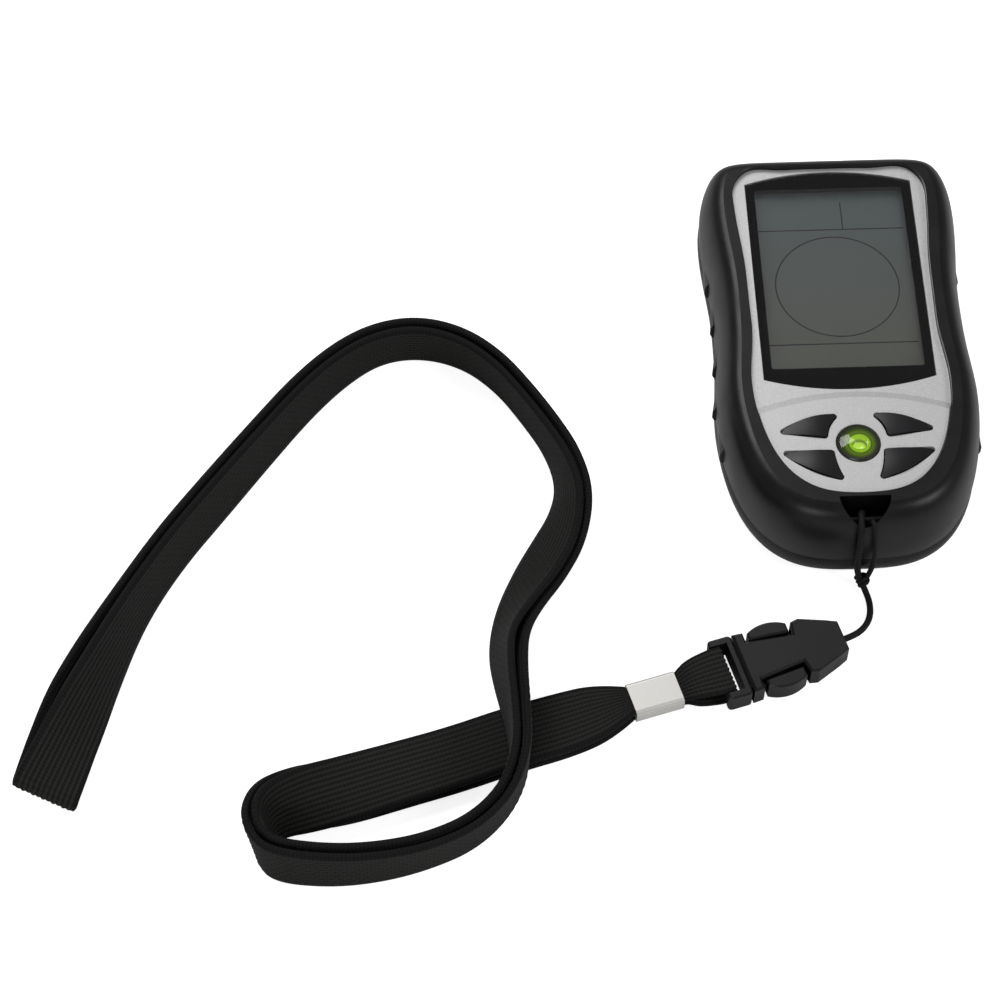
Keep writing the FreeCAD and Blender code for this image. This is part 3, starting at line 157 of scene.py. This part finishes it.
# The bullseye level, and its colours from the middle (0) to the rim (1): a painted highlight on the bubble in
# the middle, painted shade towards the rim
LEVEL_CENTRE = (0.0003, -0.0317)
LEVEL_RADIUS = 0.005
LEVEL_PAINTED_GLOW = 0.5
LEVEL_BUBBLE_HIGHLIGHT = (0.68, 0.86, 0.24)
LEVEL_SHADED_RIM = (0.02, 0.035, 0.008)
LEVEL_BANDS = (
    (0.24, (0.55, 0.74, 0.1)), (0.30, (0.1, 0.16, 0.01)), (0.37, (0.38, 0.56, 0.02)),
    (0.47, (0.3, 0.46, 0.02)), (0.51, (0.05, 0.08, 0.01)), (0.56, (0.17, 0.26, 0.015)),
    (0.78, (0.04, 0.062, 0.012)))

# The studio: each lamp's place, size and power in watts
FLOOR_REACH = 3.0
FLOOR_DROP = 0.00005
FLOOR_GLOW = 0.8
WORLD_STRENGTH = 0.28
LAMPS = (
    ("key", (-0.5, 0.9, 1.3), (0.9, 0.6), 10.0),
    ("fill", (0.9, -0.5, 1.0), (0.5, 0.5), 5.0),
    ("front", (-0.5, -1.2, 0.7), (0.4, 0.25), 3.0))


def make_camera():
    elevation = math.radians(ELEVATION)
    yaw = math.radians(YAW)
    back = Vector((math.sin(yaw) * math.cos(elevation), -math.cos(yaw) * math.cos(elevation),
                   math.sin(elevation)))
    right = Vector((math.cos(yaw), math.sin(yaw), 0))
    turned = Matrix((right, back.cross(right), back)).transposed().to_4x4()
    data = bpy.data.cameras.new("photo_camera")
    data.lens = LENS_MM
    data.sensor_width = SENSOR_MM
    data.clip_start = CLIP_NEAR
    data.clip_end = CLIP_FAR
    camera = bpy.data.objects.new("photo_camera", data)
    camera.matrix_world = Matrix.Translation(TARGET + back * DISTANCE) @ turned
    bpy.context.scene.collection.objects.link(camera)
    bpy.context.scene.camera = camera


# ---- curves and meshes

def link(data, name):
    made = bpy.data.objects.new(name, data)
    bpy.context.scene.collection.objects.link(made)
    return made


def spline_curve(points, name, resolution, radius):
    curve = bpy.data.curves.new(name, "CURVE")
    curve.dimensions = "3D"
    curve.resolution_u = resolution
    spline = curve.splines.new("NURBS")
    spline.points.add(len(points) - 1)
    for point, place in zip(spline.points, points):
        point.co = (*place, 1.0)
        point.radius = radius
    spline.order_u = 3
    spline.use_endpoint_u = True
    return curve


def cord_piece(points, diameter, name):
    # each point's radius is the cord's, so the bevel itself is one unit deep
    curve = spline_curve(points, name, CORD_RESOLUTION, diameter / 2)
    curve.bevel_depth = 1.0
    curve.bevel_resolution = CORD_BEVEL
    curve.use_fill_caps = True
    return link(curve, name)


def spline_line(points):
    # the points that the spline itself gives
    curve = spline_curve(points, "line", LINE_RESOLUTION, 0.0)
    holder = bpy.data.objects.new("line", curve)
    mesh = bpy.data.meshes.new_from_object(holder)
    line = [vertex.co.copy() for vertex in mesh.vertices]
    bpy.data.objects.remove(holder)
    bpy.data.curves.remove(curve)
    bpy.data.meshes.remove(mesh)
    return line


def even_stations(centres, edges, spacing):
    # the centre line and the edge line at even steps along the centre line
    stations = []
    wanted = 0.0
    run = 0.0
    for index in range(len(centres) - 1):
        step = (centres[index + 1] - centres[index]).length
        while step > 0 and wanted <= run + step:
            share = (wanted - run) / step
            centre = centres[index].lerp(centres[index + 1], share)
            stations.append((centre, edges[index].lerp(edges[index + 1], share) - centre))
            wanted += spacing
        run += step
    stations.append((centres[-1], edges[-1] - centres[-1]))
    return stations


def webbing_profile(ribs):
    # once round the webbing: place across (-1 to 1), side (1 upper, -1 lower, 0 rim), depth in a groove
    # (on the rim: angle in degrees), rib
    face = []
    for step in range(ribs * RIB_STEPS + 1):
        share = step / RIB_STEPS
        face.append((2 * share / ribs - 1, 1 - abs(math.sin(math.pi * share)), int(share)))
    profile = [(across, 1, groove, rib) for across, groove, rib in face]
    profile += [(1.0, 0, angle, 0) for angle in RIM_ANGLES]
    profile += [(across, -1, groove, rib) for across, groove, rib in reversed(face)]
    profile += [(-1.0, 0, angle, 0) for angle in reversed(RIM_ANGLES)]
    return profile


def webbing(name, stations, thickness, ribs):
    # a ribbed flat weave along stations of centre and half-width vector, its grooves deeper where it narrows
    profile = webbing_profile(ribs)
    half_thickness = thickness / 2
    count = len(profile)
    places = []
    weave = []
    run = 0.0
    for index, (centre, half) in enumerate(stations):
        before = stations[max(index - 1, 0)][0]
        after = stations[min(index + 1, len(stations) - 1)][0]
        run += (centre - before).length
        across = half.normalized()
        out = (after - before).cross(across).normalized()
        flat_half = half.length - half_thickness
        gathered = RIB_DEPTH * min(STRAP_WIDTH / (2 * half.length), GATHER_LIMIT)
        for place, side, depth, rib in profile:
            if side == 0:
                angle = math.radians(depth)
                a = place * (flat_half + half_thickness * math.cos(angle))
                b = half_thickness * math.sin(angle)
            else:
                knit = KNIT_DEPTH * math.sin(2 * math.pi * run / KNIT_PITCH + math.pi * rib) * (1 - depth)
                a = place * flat_half
                b = side * (half_thickness - gathered * depth + knit - KNIT_DEPTH)
            places.append(centre + across * a + out * b)
            weave.append((place * ribs / 2, run / YARN_PITCH))
    faces = []
    for ring in range(len(stations) - 1):
        low = ring * count
        for index in range(count):
            after = (index + 1) % count
            faces.append((low + index, low + after, low + count + after, low + count + index))
    faces.append(tuple(range(count - 1, -1, -1)))
    last = (len(stations) - 1) * count
    faces.append(tuple(range(last, last + count)))
    mesh = bpy.data.meshes.new(name)
    mesh.from_pydata(places, [], faces)
    layer = mesh.uv_layers.new(name="weave")
    for loop in mesh.loops:
        layer.data[loop.index].uv = weave[loop.vertex_index]
    mesh.shade_smooth()
    mesh.validate()
    return link(mesh, name)


# ---- strap

def strap_lines(side):
    # centre line and edge line of one strand, square to the route at each of its points
    centres = []
    edges = []
    plan = [Vector((row[0], row[1], 0)) for row in STRAP_ROUTE]
    for index, (x, y, low, lean, width, spread) in enumerate(STRAP_ROUTE):
        before = plan[max(index - 1, 0)]
        after = plan[min(index + 1, len(plan) - 1)]
        heading = (after - before).normalized()
        tilt = math.radians(lean)
        across = Vector((heading.y, -heading.x, 0)) * math.cos(tilt) + Vector((0, 0, math.sin(tilt)))
        out = heading.cross(across)
        apart = STRAP_THICKNESS + STRAND_GAP + spread
        bundle = apart + STRAP_THICKNESS
        rise = width / 2 * abs(math.sin(tilt)) + bundle / 2 * abs(math.cos(tilt))
        centre = plan[index] + Vector((0, 0, low + rise)) + out * (side * apart / 2)
        centres.append(centre)
        edges.append(centre + across * (width / 2))
    return centres, edges


def make_strand(side, name, node):
    centres, edges = strap_lines(side)
    stations = even_stations(spline_line(centres), spline_line(edges), RING_SPACING)
    strand = webbing(name, stations, STRAP_THICKNESS, STRAP_RIBS)
    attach(strand, "unit")
    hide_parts(node)
    return strand, stations


def make_fold(inner, outer):
    # the strap turns back on itself in a half circle from one strand's end to the other's, and its heading is
    # taken over the last few stations
    start, half = inner[-1]
    end = outer[-1][0]
    middle = (start + end) / 2
    heading = (inner[-1][0] - inner[-4][0]).normalized()
    arm = start - middle
    stations = []
    for step in range(FOLD_STEPS + 1):
        angle = math.pi * step / FOLD_STEPS
        stations.append((middle + arm * math.cos(angle) + heading * (arm.length * math.sin(angle)), half))
    fold = webbing("webbing_fold", stations, STRAP_THICKNESS, STRAP_RIBS)
    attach(fold, "unit")
    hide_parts("strap_fold")
    return fold


def make_tab():
    # two layers from the crimp, joined round the buckle's strap bar
    angle = math.radians(BUCKLE_ANGLE)
    heading = Vector((math.cos(angle), math.sin(angle), 0))
    across = Vector((-heading.y, heading.x, 0))
    start = CRIMP_AT - heading * (CRIMP_LENGTH / 2 - TAB_INSET)
    turn = (BUCKLE_AT - start).dot(heading) + TAB_TURN_U
    layer = TAB_THICKNESS / 2 + TAB_LAYER_GAP / 2
    crimped = CRIMP_MIDDLE_Z - layer
    low = BUCKLE_MIDDLE_Z - TAB_RISE
    lower = [(0.0, crimped, TAB_NARROW), (CRIMP_LENGTH + TAB_LEAVES, crimped, TAB_NARROW)]
    for (past, share), width in ((TAB_SHOULDER_AT, TAB_SHOULDER),
                                 (TAB_SPREAD_AT, (TAB_SHOULDER + TAB_WIDTH) / 2)):
        lower.append((CRIMP_LENGTH + past, BUCKLE_MIDDLE_Z - TAB_RISE * share, width))
    lower += [(turn - TAB_FLAT_FROM, low, TAB_WIDTH), (turn - TAB_TURN_FROM, low, TAB_WIDTH),
              (turn, low, TAB_WIDTH), (turn, low + TAB_TURN_FROM, TAB_WIDTH)]
    upper = []
    for s, z, width in reversed(lower):
        base = CRIMP_MIDDLE_Z if s < CRIMP_LENGTH else BUCKLE_MIDDLE_Z
        upper.append((s, 2 * base - z, width))
    points = lower + upper
    centres = [start + heading * s + Vector((0, 0, z)) for s, z, width in points]
    edges = [centre + across * (width / 2) for centre, (s, z, width) in zip(centres, points)]
    stations = even_stations(spline_line(centres), spline_line(edges), RING_SPACING / 2)
    tab = webbing("webbing_tab", stations, TAB_THICKNESS, TAB_RIBS)
    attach(tab, "unit")
    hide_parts("strap_tab")
    return tab


# ---- tether

def make_tether():
    line = cord_piece(TETHER_ROUTE, TETHER_DIAMETER, "tether_line")
    leg = cord_piece(LEG_ROUTE, LEG_DIAMETER, "tether_short_leg")
    before, after = (Vector(TETHER_ROUTE[index]) for index in KNOT_BETWEEN)
    axis = (after - before).normalized()
    first = axis.orthogonal().normalized()
    second = axis.cross(first)
    wraps = []
    for step in range(KNOT_STEPS + 1):
        angle = 2 * math.pi * step / KNOT_STEPS_PER_TURN
        reach = KNOT_REACH if 0 < step < KNOT_STEPS else KNOT_END_REACH
        along = KNOT_HALF_LENGTH * (step / (KNOT_STEPS / 2) - 1)
        wraps.append(KNOT + first * (reach * math.cos(angle)) + second * (reach * math.sin(angle))
                     + axis * along)
    knot = cord_piece(wraps, KNOT_DIAMETER, "tether_knot_wraps")
    for piece, node in ((line, "tether_cord"), (leg, "tether_leg"), (knot, "tether_knot")):
        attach(piece, "unit")
        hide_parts(node)
    return line, leg, knot


# ---- materials

def shader(name, colour, roughness, **values):
    material = bpy.data.materials.new(name)
    material.use_nodes = True
    surface = material.node_tree.nodes["Principled BSDF"]
    surface.inputs["Base Color"].default_value = (*colour, 1.0)
    surface.inputs["Roughness"].default_value = roughness
    for key, value in values.items():
        surface.inputs[key.replace("_", " ").title().replace("Ior", "IOR")].default_value = value
    return material, material.node_tree.nodes, material.node_tree.links, surface


def texture_place(nodes, links, scale):
    place = nodes.new("ShaderNodeTexCoord")
    mapping = nodes.new("ShaderNodeMapping")
    mapping.inputs["Scale"].default_value = scale
    links.new(place.outputs["Object"], mapping.inputs["Vector"])
    return mapping.outputs["Vector"]


def noise(nodes, links, vector, scale, detail):
    texture = nodes.new("ShaderNodeTexNoise")
    texture.inputs["Scale"].default_value = scale
    texture.inputs["Detail"].default_value = detail
    links.new(vector, texture.inputs["Vector"])
    return texture.outputs["Fac"]


def ranged(nodes, links, value, low, high):
    spread = nodes.new("ShaderNodeMapRange")
    spread.inputs["From Min"].default_value = 0.3
    spread.inputs["From Max"].default_value = 0.7
    spread.inputs["To Min"].default_value = low
    spread.inputs["To Max"].default_value = high
    links.new(value, spread.inputs["Value"])
    return spread.outputs["Result"]


def two_tone(nodes, links, surface, factor, low, high):
    mix = nodes.new("ShaderNodeMix")
    mix.data_type = "RGBA"
    mix.inputs["A"].default_value = (*low, 1.0)
    mix.inputs["B"].default_value = (*high, 1.0)
    links.new(factor, mix.inputs["Factor"])
    links.new(mix.outputs["Result"], surface.inputs["Base Color"])


def bump(nodes, links, surface, height, distance, strength):
    node = nodes.new("ShaderNodeBump")
    node.inputs["Strength"].default_value = strength
    node.inputs["Distance"].default_value = distance
    links.new(height, node.inputs["Height"])
    links.new(node.outputs["Normal"], surface.inputs["Normal"])


def moulded(name, low, high, roughness, grain=4200.0, depth=0.00004, **values):
    # moulded plastic: fine spark-eroded grain, slight tone and gloss changes from handling
    material, nodes, links, surface = shader(name, high, roughness, **values)
    vector = texture_place(nodes, links, (1, 1, 1))
    wear = noise(nodes, links, vector, 90.0, 3.0)
    two_tone(nodes, links, surface, ranged(nodes, links, wear, 0.0, 1.0), low, high)
    links.new(ranged(nodes, links, wear, roughness - 0.05, roughness + 0.06), surface.inputs["Roughness"])
    bump(nodes, links, surface, noise(nodes, links, vector, grain, 2.0), depth, 0.35)
    return material


def metallic(name, low, high, roughness, stretch=(1, 1, 1), scale=1500.0, metal=1.0, depth=0.00001):
    # bare or painted metal: fine streaks or flakes
    material, nodes, links, surface = shader(name, high, roughness, metallic=metal)
    vector = texture_place(nodes, links, stretch)
    flakes = noise(nodes, links, vector, scale, 4.0)
    two_tone(nodes, links, surface, ranged(nodes, links, flakes, 0.0, 1.0), low, high)
    links.new(ranged(nodes, links, flakes, roughness - 0.05, roughness + 0.06), surface.inputs["Roughness"])
    bump(nodes, links, surface, flakes, depth, 0.3)
    return material


def woven(name):
    # black polyester: a painted highlight along each rib's crest and painted shade in its grooves, broken by
    # the crossing yarns
    material, nodes, links, surface = shader(name, (0.006, 0.006, 0.006), 0.8, sheen_weight=0.04,
                                             sheen_roughness=0.4, specular_ior_level=0.25)
    place = nodes.new("ShaderNodeUVMap")
    place.uv_map = "weave"
    split = nodes.new("ShaderNodeSeparateXYZ")
    links.new(place.outputs["UV"], split.inputs["Vector"])
    waves = []
    for axis in ("X", "Y"):
        scaled = nodes.new("ShaderNodeMath")
        scaled.operation = "MULTIPLY"
        scaled.inputs[1].default_value = 2 * math.pi
        links.new(split.outputs[axis], scaled.inputs[0])
        wave = nodes.new("ShaderNodeMath")
        wave.operation = "COSINE"
        links.new(scaled.outputs["Value"], wave.inputs[0])
        waves.append(wave.outputs["Value"])
    cross = nodes.new("ShaderNodeMath")
    cross.operation = "MULTIPLY_ADD"
    cross.inputs[1].default_value = YARN_SHARE
    links.new(waves[1], cross.inputs[0])
    links.new(waves[0], cross.inputs[2])
    crest_light_and_height = nodes.new("ShaderNodeMapRange")
    crest_light_and_height.inputs["From Min"].default_value = -1.0 - YARN_SHARE
    crest_light_and_height.inputs["From Max"].default_value = 1.0 + YARN_SHARE
    links.new(cross.outputs["Value"], crest_light_and_height.inputs["Value"])
    fuzz = noise(nodes, links, texture_place(nodes, links, (1, 1, 1)), 2600.0, 3.0)
    both = nodes.new("ShaderNodeMath")
    both.operation = "MULTIPLY_ADD"
    both.inputs[1].default_value = 0.5
    links.new(fuzz, both.inputs[0])
    links.new(crest_light_and_height.outputs["Result"], both.inputs[2])
    # painted highlight on the rib crests and crossing yarns, painted shade in the grooves between them; the
    # same pattern also drives the bump
    two_tone(nodes, links, surface, crest_light_and_height.outputs["Result"], (0.001, 0.001, 0.0009), (0.021, 0.0205, 0.019))
    bump(nodes, links, surface, both.outputs["Value"], 0.00016, 0.85)
    return material


def braided(name):
    # thin nylon cord, with a diagonal braid
    material, nodes, links, surface = shader(name, (0.005, 0.005, 0.006), 0.65, specular_ior_level=0.25)
    vector = texture_place(nodes, links, (1, 1, 1))
    braid = nodes.new("ShaderNodeTexVoronoi")
    braid.inputs["Scale"].default_value = 2400.0
    links.new(vector, braid.inputs["Vector"])
    bump(nodes, links, surface, braid.outputs["Distance"], 0.00008, 0.6)
    two_tone(nodes, links, surface, noise(nodes, links, vector, 1800.0, 2.0), (0.002, 0.002, 0.0025),
             (0.009, 0.009, 0.0095))
    return material


def clear(name, colour, low, high, index):
    # polished window: faint handling haze in its gloss
    material, nodes, links, surface = shader(name, colour, low, transmission_weight=1.0, ior=index)
    haze = noise(nodes, links, texture_place(nodes, links, (1, 1, 1)), 300.0, 3.0)
    links.new(ranged(nodes, links, haze, low, high), surface.inputs["Roughness"])
    return material


def level_fluid(name):
    # dyed fluid with a painted glow, though it is no lamp: the bubble with a painted highlight, its dark rim,
    # printed ring, painted shade at the edge
    material, nodes, links, surface = shader(name, (0.1, 0.2, 0.01), 0.2)
    flat = texture_place(nodes, links, (1, 1, 0))
    reach = nodes.new("ShaderNodeVectorMath")
    reach.operation = "DISTANCE"
    reach.inputs[1].default_value = (*LEVEL_CENTRE, 0.0)
    links.new(flat, reach.inputs[0])
    share = nodes.new("ShaderNodeMath")
    share.operation = "DIVIDE"
    share.inputs[1].default_value = LEVEL_RADIUS
    links.new(reach.outputs["Value"], share.inputs[0])
    ramp = nodes.new("ShaderNodeValToRGB")
    stops = ramp.color_ramp.elements
    # painted highlight at the middle and painted shade at the rim, with the printed ring and the bubble's
    # dark rim between them
    stops[0].position, stops[0].color = 0.0, (*LEVEL_BUBBLE_HIGHLIGHT, 1.0)
    stops[1].position, stops[1].color = 1.0, (*LEVEL_SHADED_RIM, 1.0)
    for position, colour in LEVEL_BANDS:
        stops.new(position).color = (*colour, 1.0)
    links.new(share.outputs["Value"], ramp.inputs["Fac"])
    links.new(ramp.outputs["Color"], surface.inputs["Base Color"])
    # the ramp's colours also glow: painted light standing in for the light that reaches the fluid through the
    # cap
    links.new(ramp.outputs["Color"], surface.inputs["Emission Color"])
    surface.inputs["Emission Strength"].default_value = LEVEL_PAINTED_GLOW
    return material


def liquid_crystal(name):
    # unlit display with a painted reflection of the lens: bluish at the far end, greener near the keys
    material, nodes, links, surface = shader(name, (0.1, 0.12, 0.12), 0.35)
    vector = texture_place(nodes, links, (1, 1, 1))
    split = nodes.new("ShaderNodeSeparateXYZ")
    links.new(vector, split.inputs["Vector"])
    along = nodes.new("ShaderNodeMapRange")
    along.inputs["From Min"].default_value = LOWER_LINE_Y
    along.inputs["From Max"].default_value = DISPLAY_TOP_Y
    links.new(split.outputs["Y"], along.inputs["Value"])
    # the bluish tone towards the far end is a painted reflection of the lens
    two_tone(nodes, links, surface, along.outputs["Result"], (0.138, 0.146, 0.124), (0.124, 0.156, 0.166))
    bump(nodes, links, surface, noise(nodes, links, vector, 9000.0, 2.0), 0.00001, 0.2)
    return material


def make_materials():
    # one for each of the record's slots, and the ink of the display's marks
    return {
        "casing_black": moulded("casing_black", (0.0035, 0.0035, 0.0038), (0.0055, 0.0055, 0.0058), 0.34,
                                specular_ior_level=0.32),
        "plate_silver": metallic("plate_silver", (0.6, 0.6, 0.6), (0.74, 0.74, 0.74), 0.36, scale=3600.0,
                                 metal=0.45),
        "gasket_black": moulded("gasket_black", (0.0, 0.0, 0.0), (0.004, 0.004, 0.004), 0.3),
        "lens_clear": clear("lens_clear", (1.0, 1.0, 1.0), 0.03, 0.05, 1.49),
        "lcd_grey": liquid_crystal("lcd_grey"),
        "light_guide_white": moulded("light_guide_white", (0.72, 0.72, 0.7), (0.8, 0.8, 0.78), 0.4),
        "elastomer_pink": moulded("elastomer_pink", (0.6, 0.28, 0.3), (0.68, 0.33, 0.35), 0.6),
        "board_green": moulded("board_green", (0.01, 0.09, 0.03), (0.02, 0.14, 0.05), 0.4, grain=900.0),
        "chip_black": moulded("chip_black", (0.015, 0.015, 0.016), (0.03, 0.03, 0.031), 0.5),
        "metal_steel": metallic("metal_steel", (0.45, 0.45, 0.46), (0.6, 0.6, 0.61), 0.3, stretch=(1, 1, 14)),
        "key_black": moulded("key_black", (0.004, 0.0042, 0.0055), (0.0065, 0.0068, 0.0085), 0.36,
                             grain=7000.0, depth=0.00001, specular_ior_level=0.4),
        "level_ring": moulded("level_ring", (0.012, 0.014, 0.008), (0.02, 0.023, 0.013), 0.25),
        "level_green": level_fluid("level_green"),
        "level_clear": clear("level_clear", (0.93, 1.0, 0.8), 0.06, 0.1, 1.49),
        "cell_wrap": metallic("cell_wrap", (0.045, 0.055, 0.1), (0.06, 0.075, 0.13), 0.35,
                              stretch=(1, 0.2, 1)),
        "buckle_black": moulded("buckle_black", (0.005, 0.005, 0.0062), (0.008, 0.008, 0.0095), 0.4,
                                specular_ior_level=0.35),
        "webbing_black": woven("webbing_black"),
        "cord_black": braided("cord_black"),
        "crimp_metal": metallic("crimp_metal", (0.7, 0.69, 0.66), (0.78, 0.76, 0.73), 0.4, metal=0.6,
                                stretch=(6, 1, 1), scale=2000.0),
        "display_ink": moulded("display_ink", (0.008, 0.009, 0.008), (0.014, 0.016, 0.014), 0.5),
    }


def paint(piece, material):
    if not piece.material_slots:
        piece.data.materials.append(material)
    for slot in piece.material_slots:
        slot.material = material


def paint_nodes(materials):
    # each CAD node comes with the name of its slot as its material
    for node in NODES.values():
        paint(node, materials[node.material_slots[0].material.name])


# ---- display marks

def strip(x0, x1, y0, y1, z0, z1):
    corners = [(x, y, z) for z in (z0, z1) for x, y in ((x0, y0), (x1, y0), (x1, y1), (x0, y1))]
    faces = [(3, 2, 1, 0), (4, 5, 6, 7), (0, 1, 5, 4), (1, 2, 6, 5), (2, 3, 7, 6), (3, 0, 4, 7)]
    return corners, faces


def make_display_marks(materials):
    # fine printed lines and the compass circle, lying on the display glass
    places = []
    faces = []
    low = LCD_TOP_Z + MARK_LIFT
    high = low + MARK_HEIGHT
    reach = LINE_WIDTH / 2
    edge = DISPLAY_HALF - MARK_SIDE_MARGIN
    divider_y = (UPPER_LINE_Y + DIVIDER_MARGINS[0], DISPLAY_TOP_Y - DIVIDER_MARGINS[1])
    for x0, x1, y0, y1 in ((-edge, edge, UPPER_LINE_Y - reach, UPPER_LINE_Y + reach),
                           (-edge, edge, LOWER_LINE_Y - reach, LOWER_LINE_Y + reach),
                           (DIVIDER_X - reach, DIVIDER_X + reach, *divider_y)):
        corners, sides = strip(x0, x1, y0, y1, low, high)
        faces += [tuple(index + len(places) for index in side) for side in sides]
        places += corners
    first = len(places)
    for step in range(CIRCLE_STEPS):
        angle = 2 * math.pi * step / CIRCLE_STEPS
        for radius, z in ((CIRCLE_RADIUS - reach, low), (CIRCLE_RADIUS + reach, low),
                          (CIRCLE_RADIUS + reach, high), (CIRCLE_RADIUS - reach, high)):
            places.append((radius * math.cos(angle), CIRCLE_Y + radius * math.sin(angle), z))
        here = first + 4 * step
        after = first + 4 * ((step + 1) % CIRCLE_STEPS)
        for side in range(4):
            other = (side + 1) % 4
            faces.append((here + side, after + side, after + other, here + other))
    mesh = bpy.data.meshes.new("display_marks")
    mesh.from_pydata(places, [], faces)
    marks = link(mesh, "display_marks")
    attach(marks, "unit")
    paint(marks, materials["display_ink"])


# ---- stage

def camera_ray_share(nodes, links, sockets):
    # 1 on the rays that the sockets name, and 0 on all others, so what it drives lights nothing else
    path = nodes.new("ShaderNodeLightPath")
    total = path.outputs[sockets[0]]
    for name in sockets[1:]:
        add = nodes.new("ShaderNodeMath")
        add.operation = "MAXIMUM"
        links.new(total, add.inputs[0])
        links.new(path.outputs[name], add.inputs[1])
        total = add.outputs["Value"]
    return total


def make_floor():
    mesh = bpy.data.meshes.new("floor")
    corners = [(x * FLOOR_REACH, y * FLOOR_REACH, 0) for x, y in ((-1, -1), (1, -1), (1, 1), (-1, 1))]
    mesh.from_pydata(corners, [], [(0, 1, 2, 3)])
    floor = link(mesh, "floor")
    floor.location.z = -FLOOR_DROP
    material, nodes, links, surface = shader("floor_white", (0.86, 0.86, 0.86), 0.9)
    surface.inputs["Specular IOR Level"].default_value = 0.0
    surface.inputs["Emission Color"].default_value = (1.0, 1.0, 1.0, 1.0)
    seen = camera_ray_share(nodes, links, ("Is Camera Ray", "Is Transmission Ray"))
    glow = nodes.new("ShaderNodeMath")
    glow.operation = "MULTIPLY"
    glow.inputs[1].default_value = FLOOR_GLOW
    links.new(seen, glow.inputs[0])
    links.new(glow.outputs["Value"], surface.inputs["Emission Strength"])
    paint(floor, material)


def soft_light(name, place, size, power):
    data = bpy.data.lights.new(name, "AREA")
    data.shape = "RECTANGLE"
    data.size, data.size_y = size
    data.energy = power
    light = link(data, name)
    light.location = place
    light.rotation_mode = "QUATERNION"
    light.rotation_quaternion = (TARGET - Vector(place)).to_track_quat("-Z", "Y")


def make_lights():
    world = bpy.data.worlds.new("studio")
    world.use_nodes = True
    background = world.node_tree.nodes["Background"]
    background.inputs["Color"].default_value = (1.0, 1.0, 1.0, 1.0)
    background.inputs["Strength"].default_value = WORLD_STRENGTH
    bpy.context.scene.world = world
    for lamp in LAMPS:
        soft_light(*lamp)
    bpy.context.scene.view_settings.view_transform = "Standard"


def main():
    make_camera()
    line, leg, knot = make_tether()
    inner, inner_stations = make_strand(1, "webbing_inner", "strap_strand_inner")
    outer, outer_stations = make_strand(-1, "webbing_outer", "strap_strand_outer")
    fold = make_fold(inner_stations, outer_stations)
    tab = make_tab()
    materials = make_materials()
    paint_nodes(materials)
    for piece in (inner, outer, fold, tab):
        paint(piece, materials["webbing_black"])
    for piece in (line, leg, knot):
        paint(piece, materials["cord_black"])
    make_display_marks(materials)
    make_floor()
    make_lights()


main()
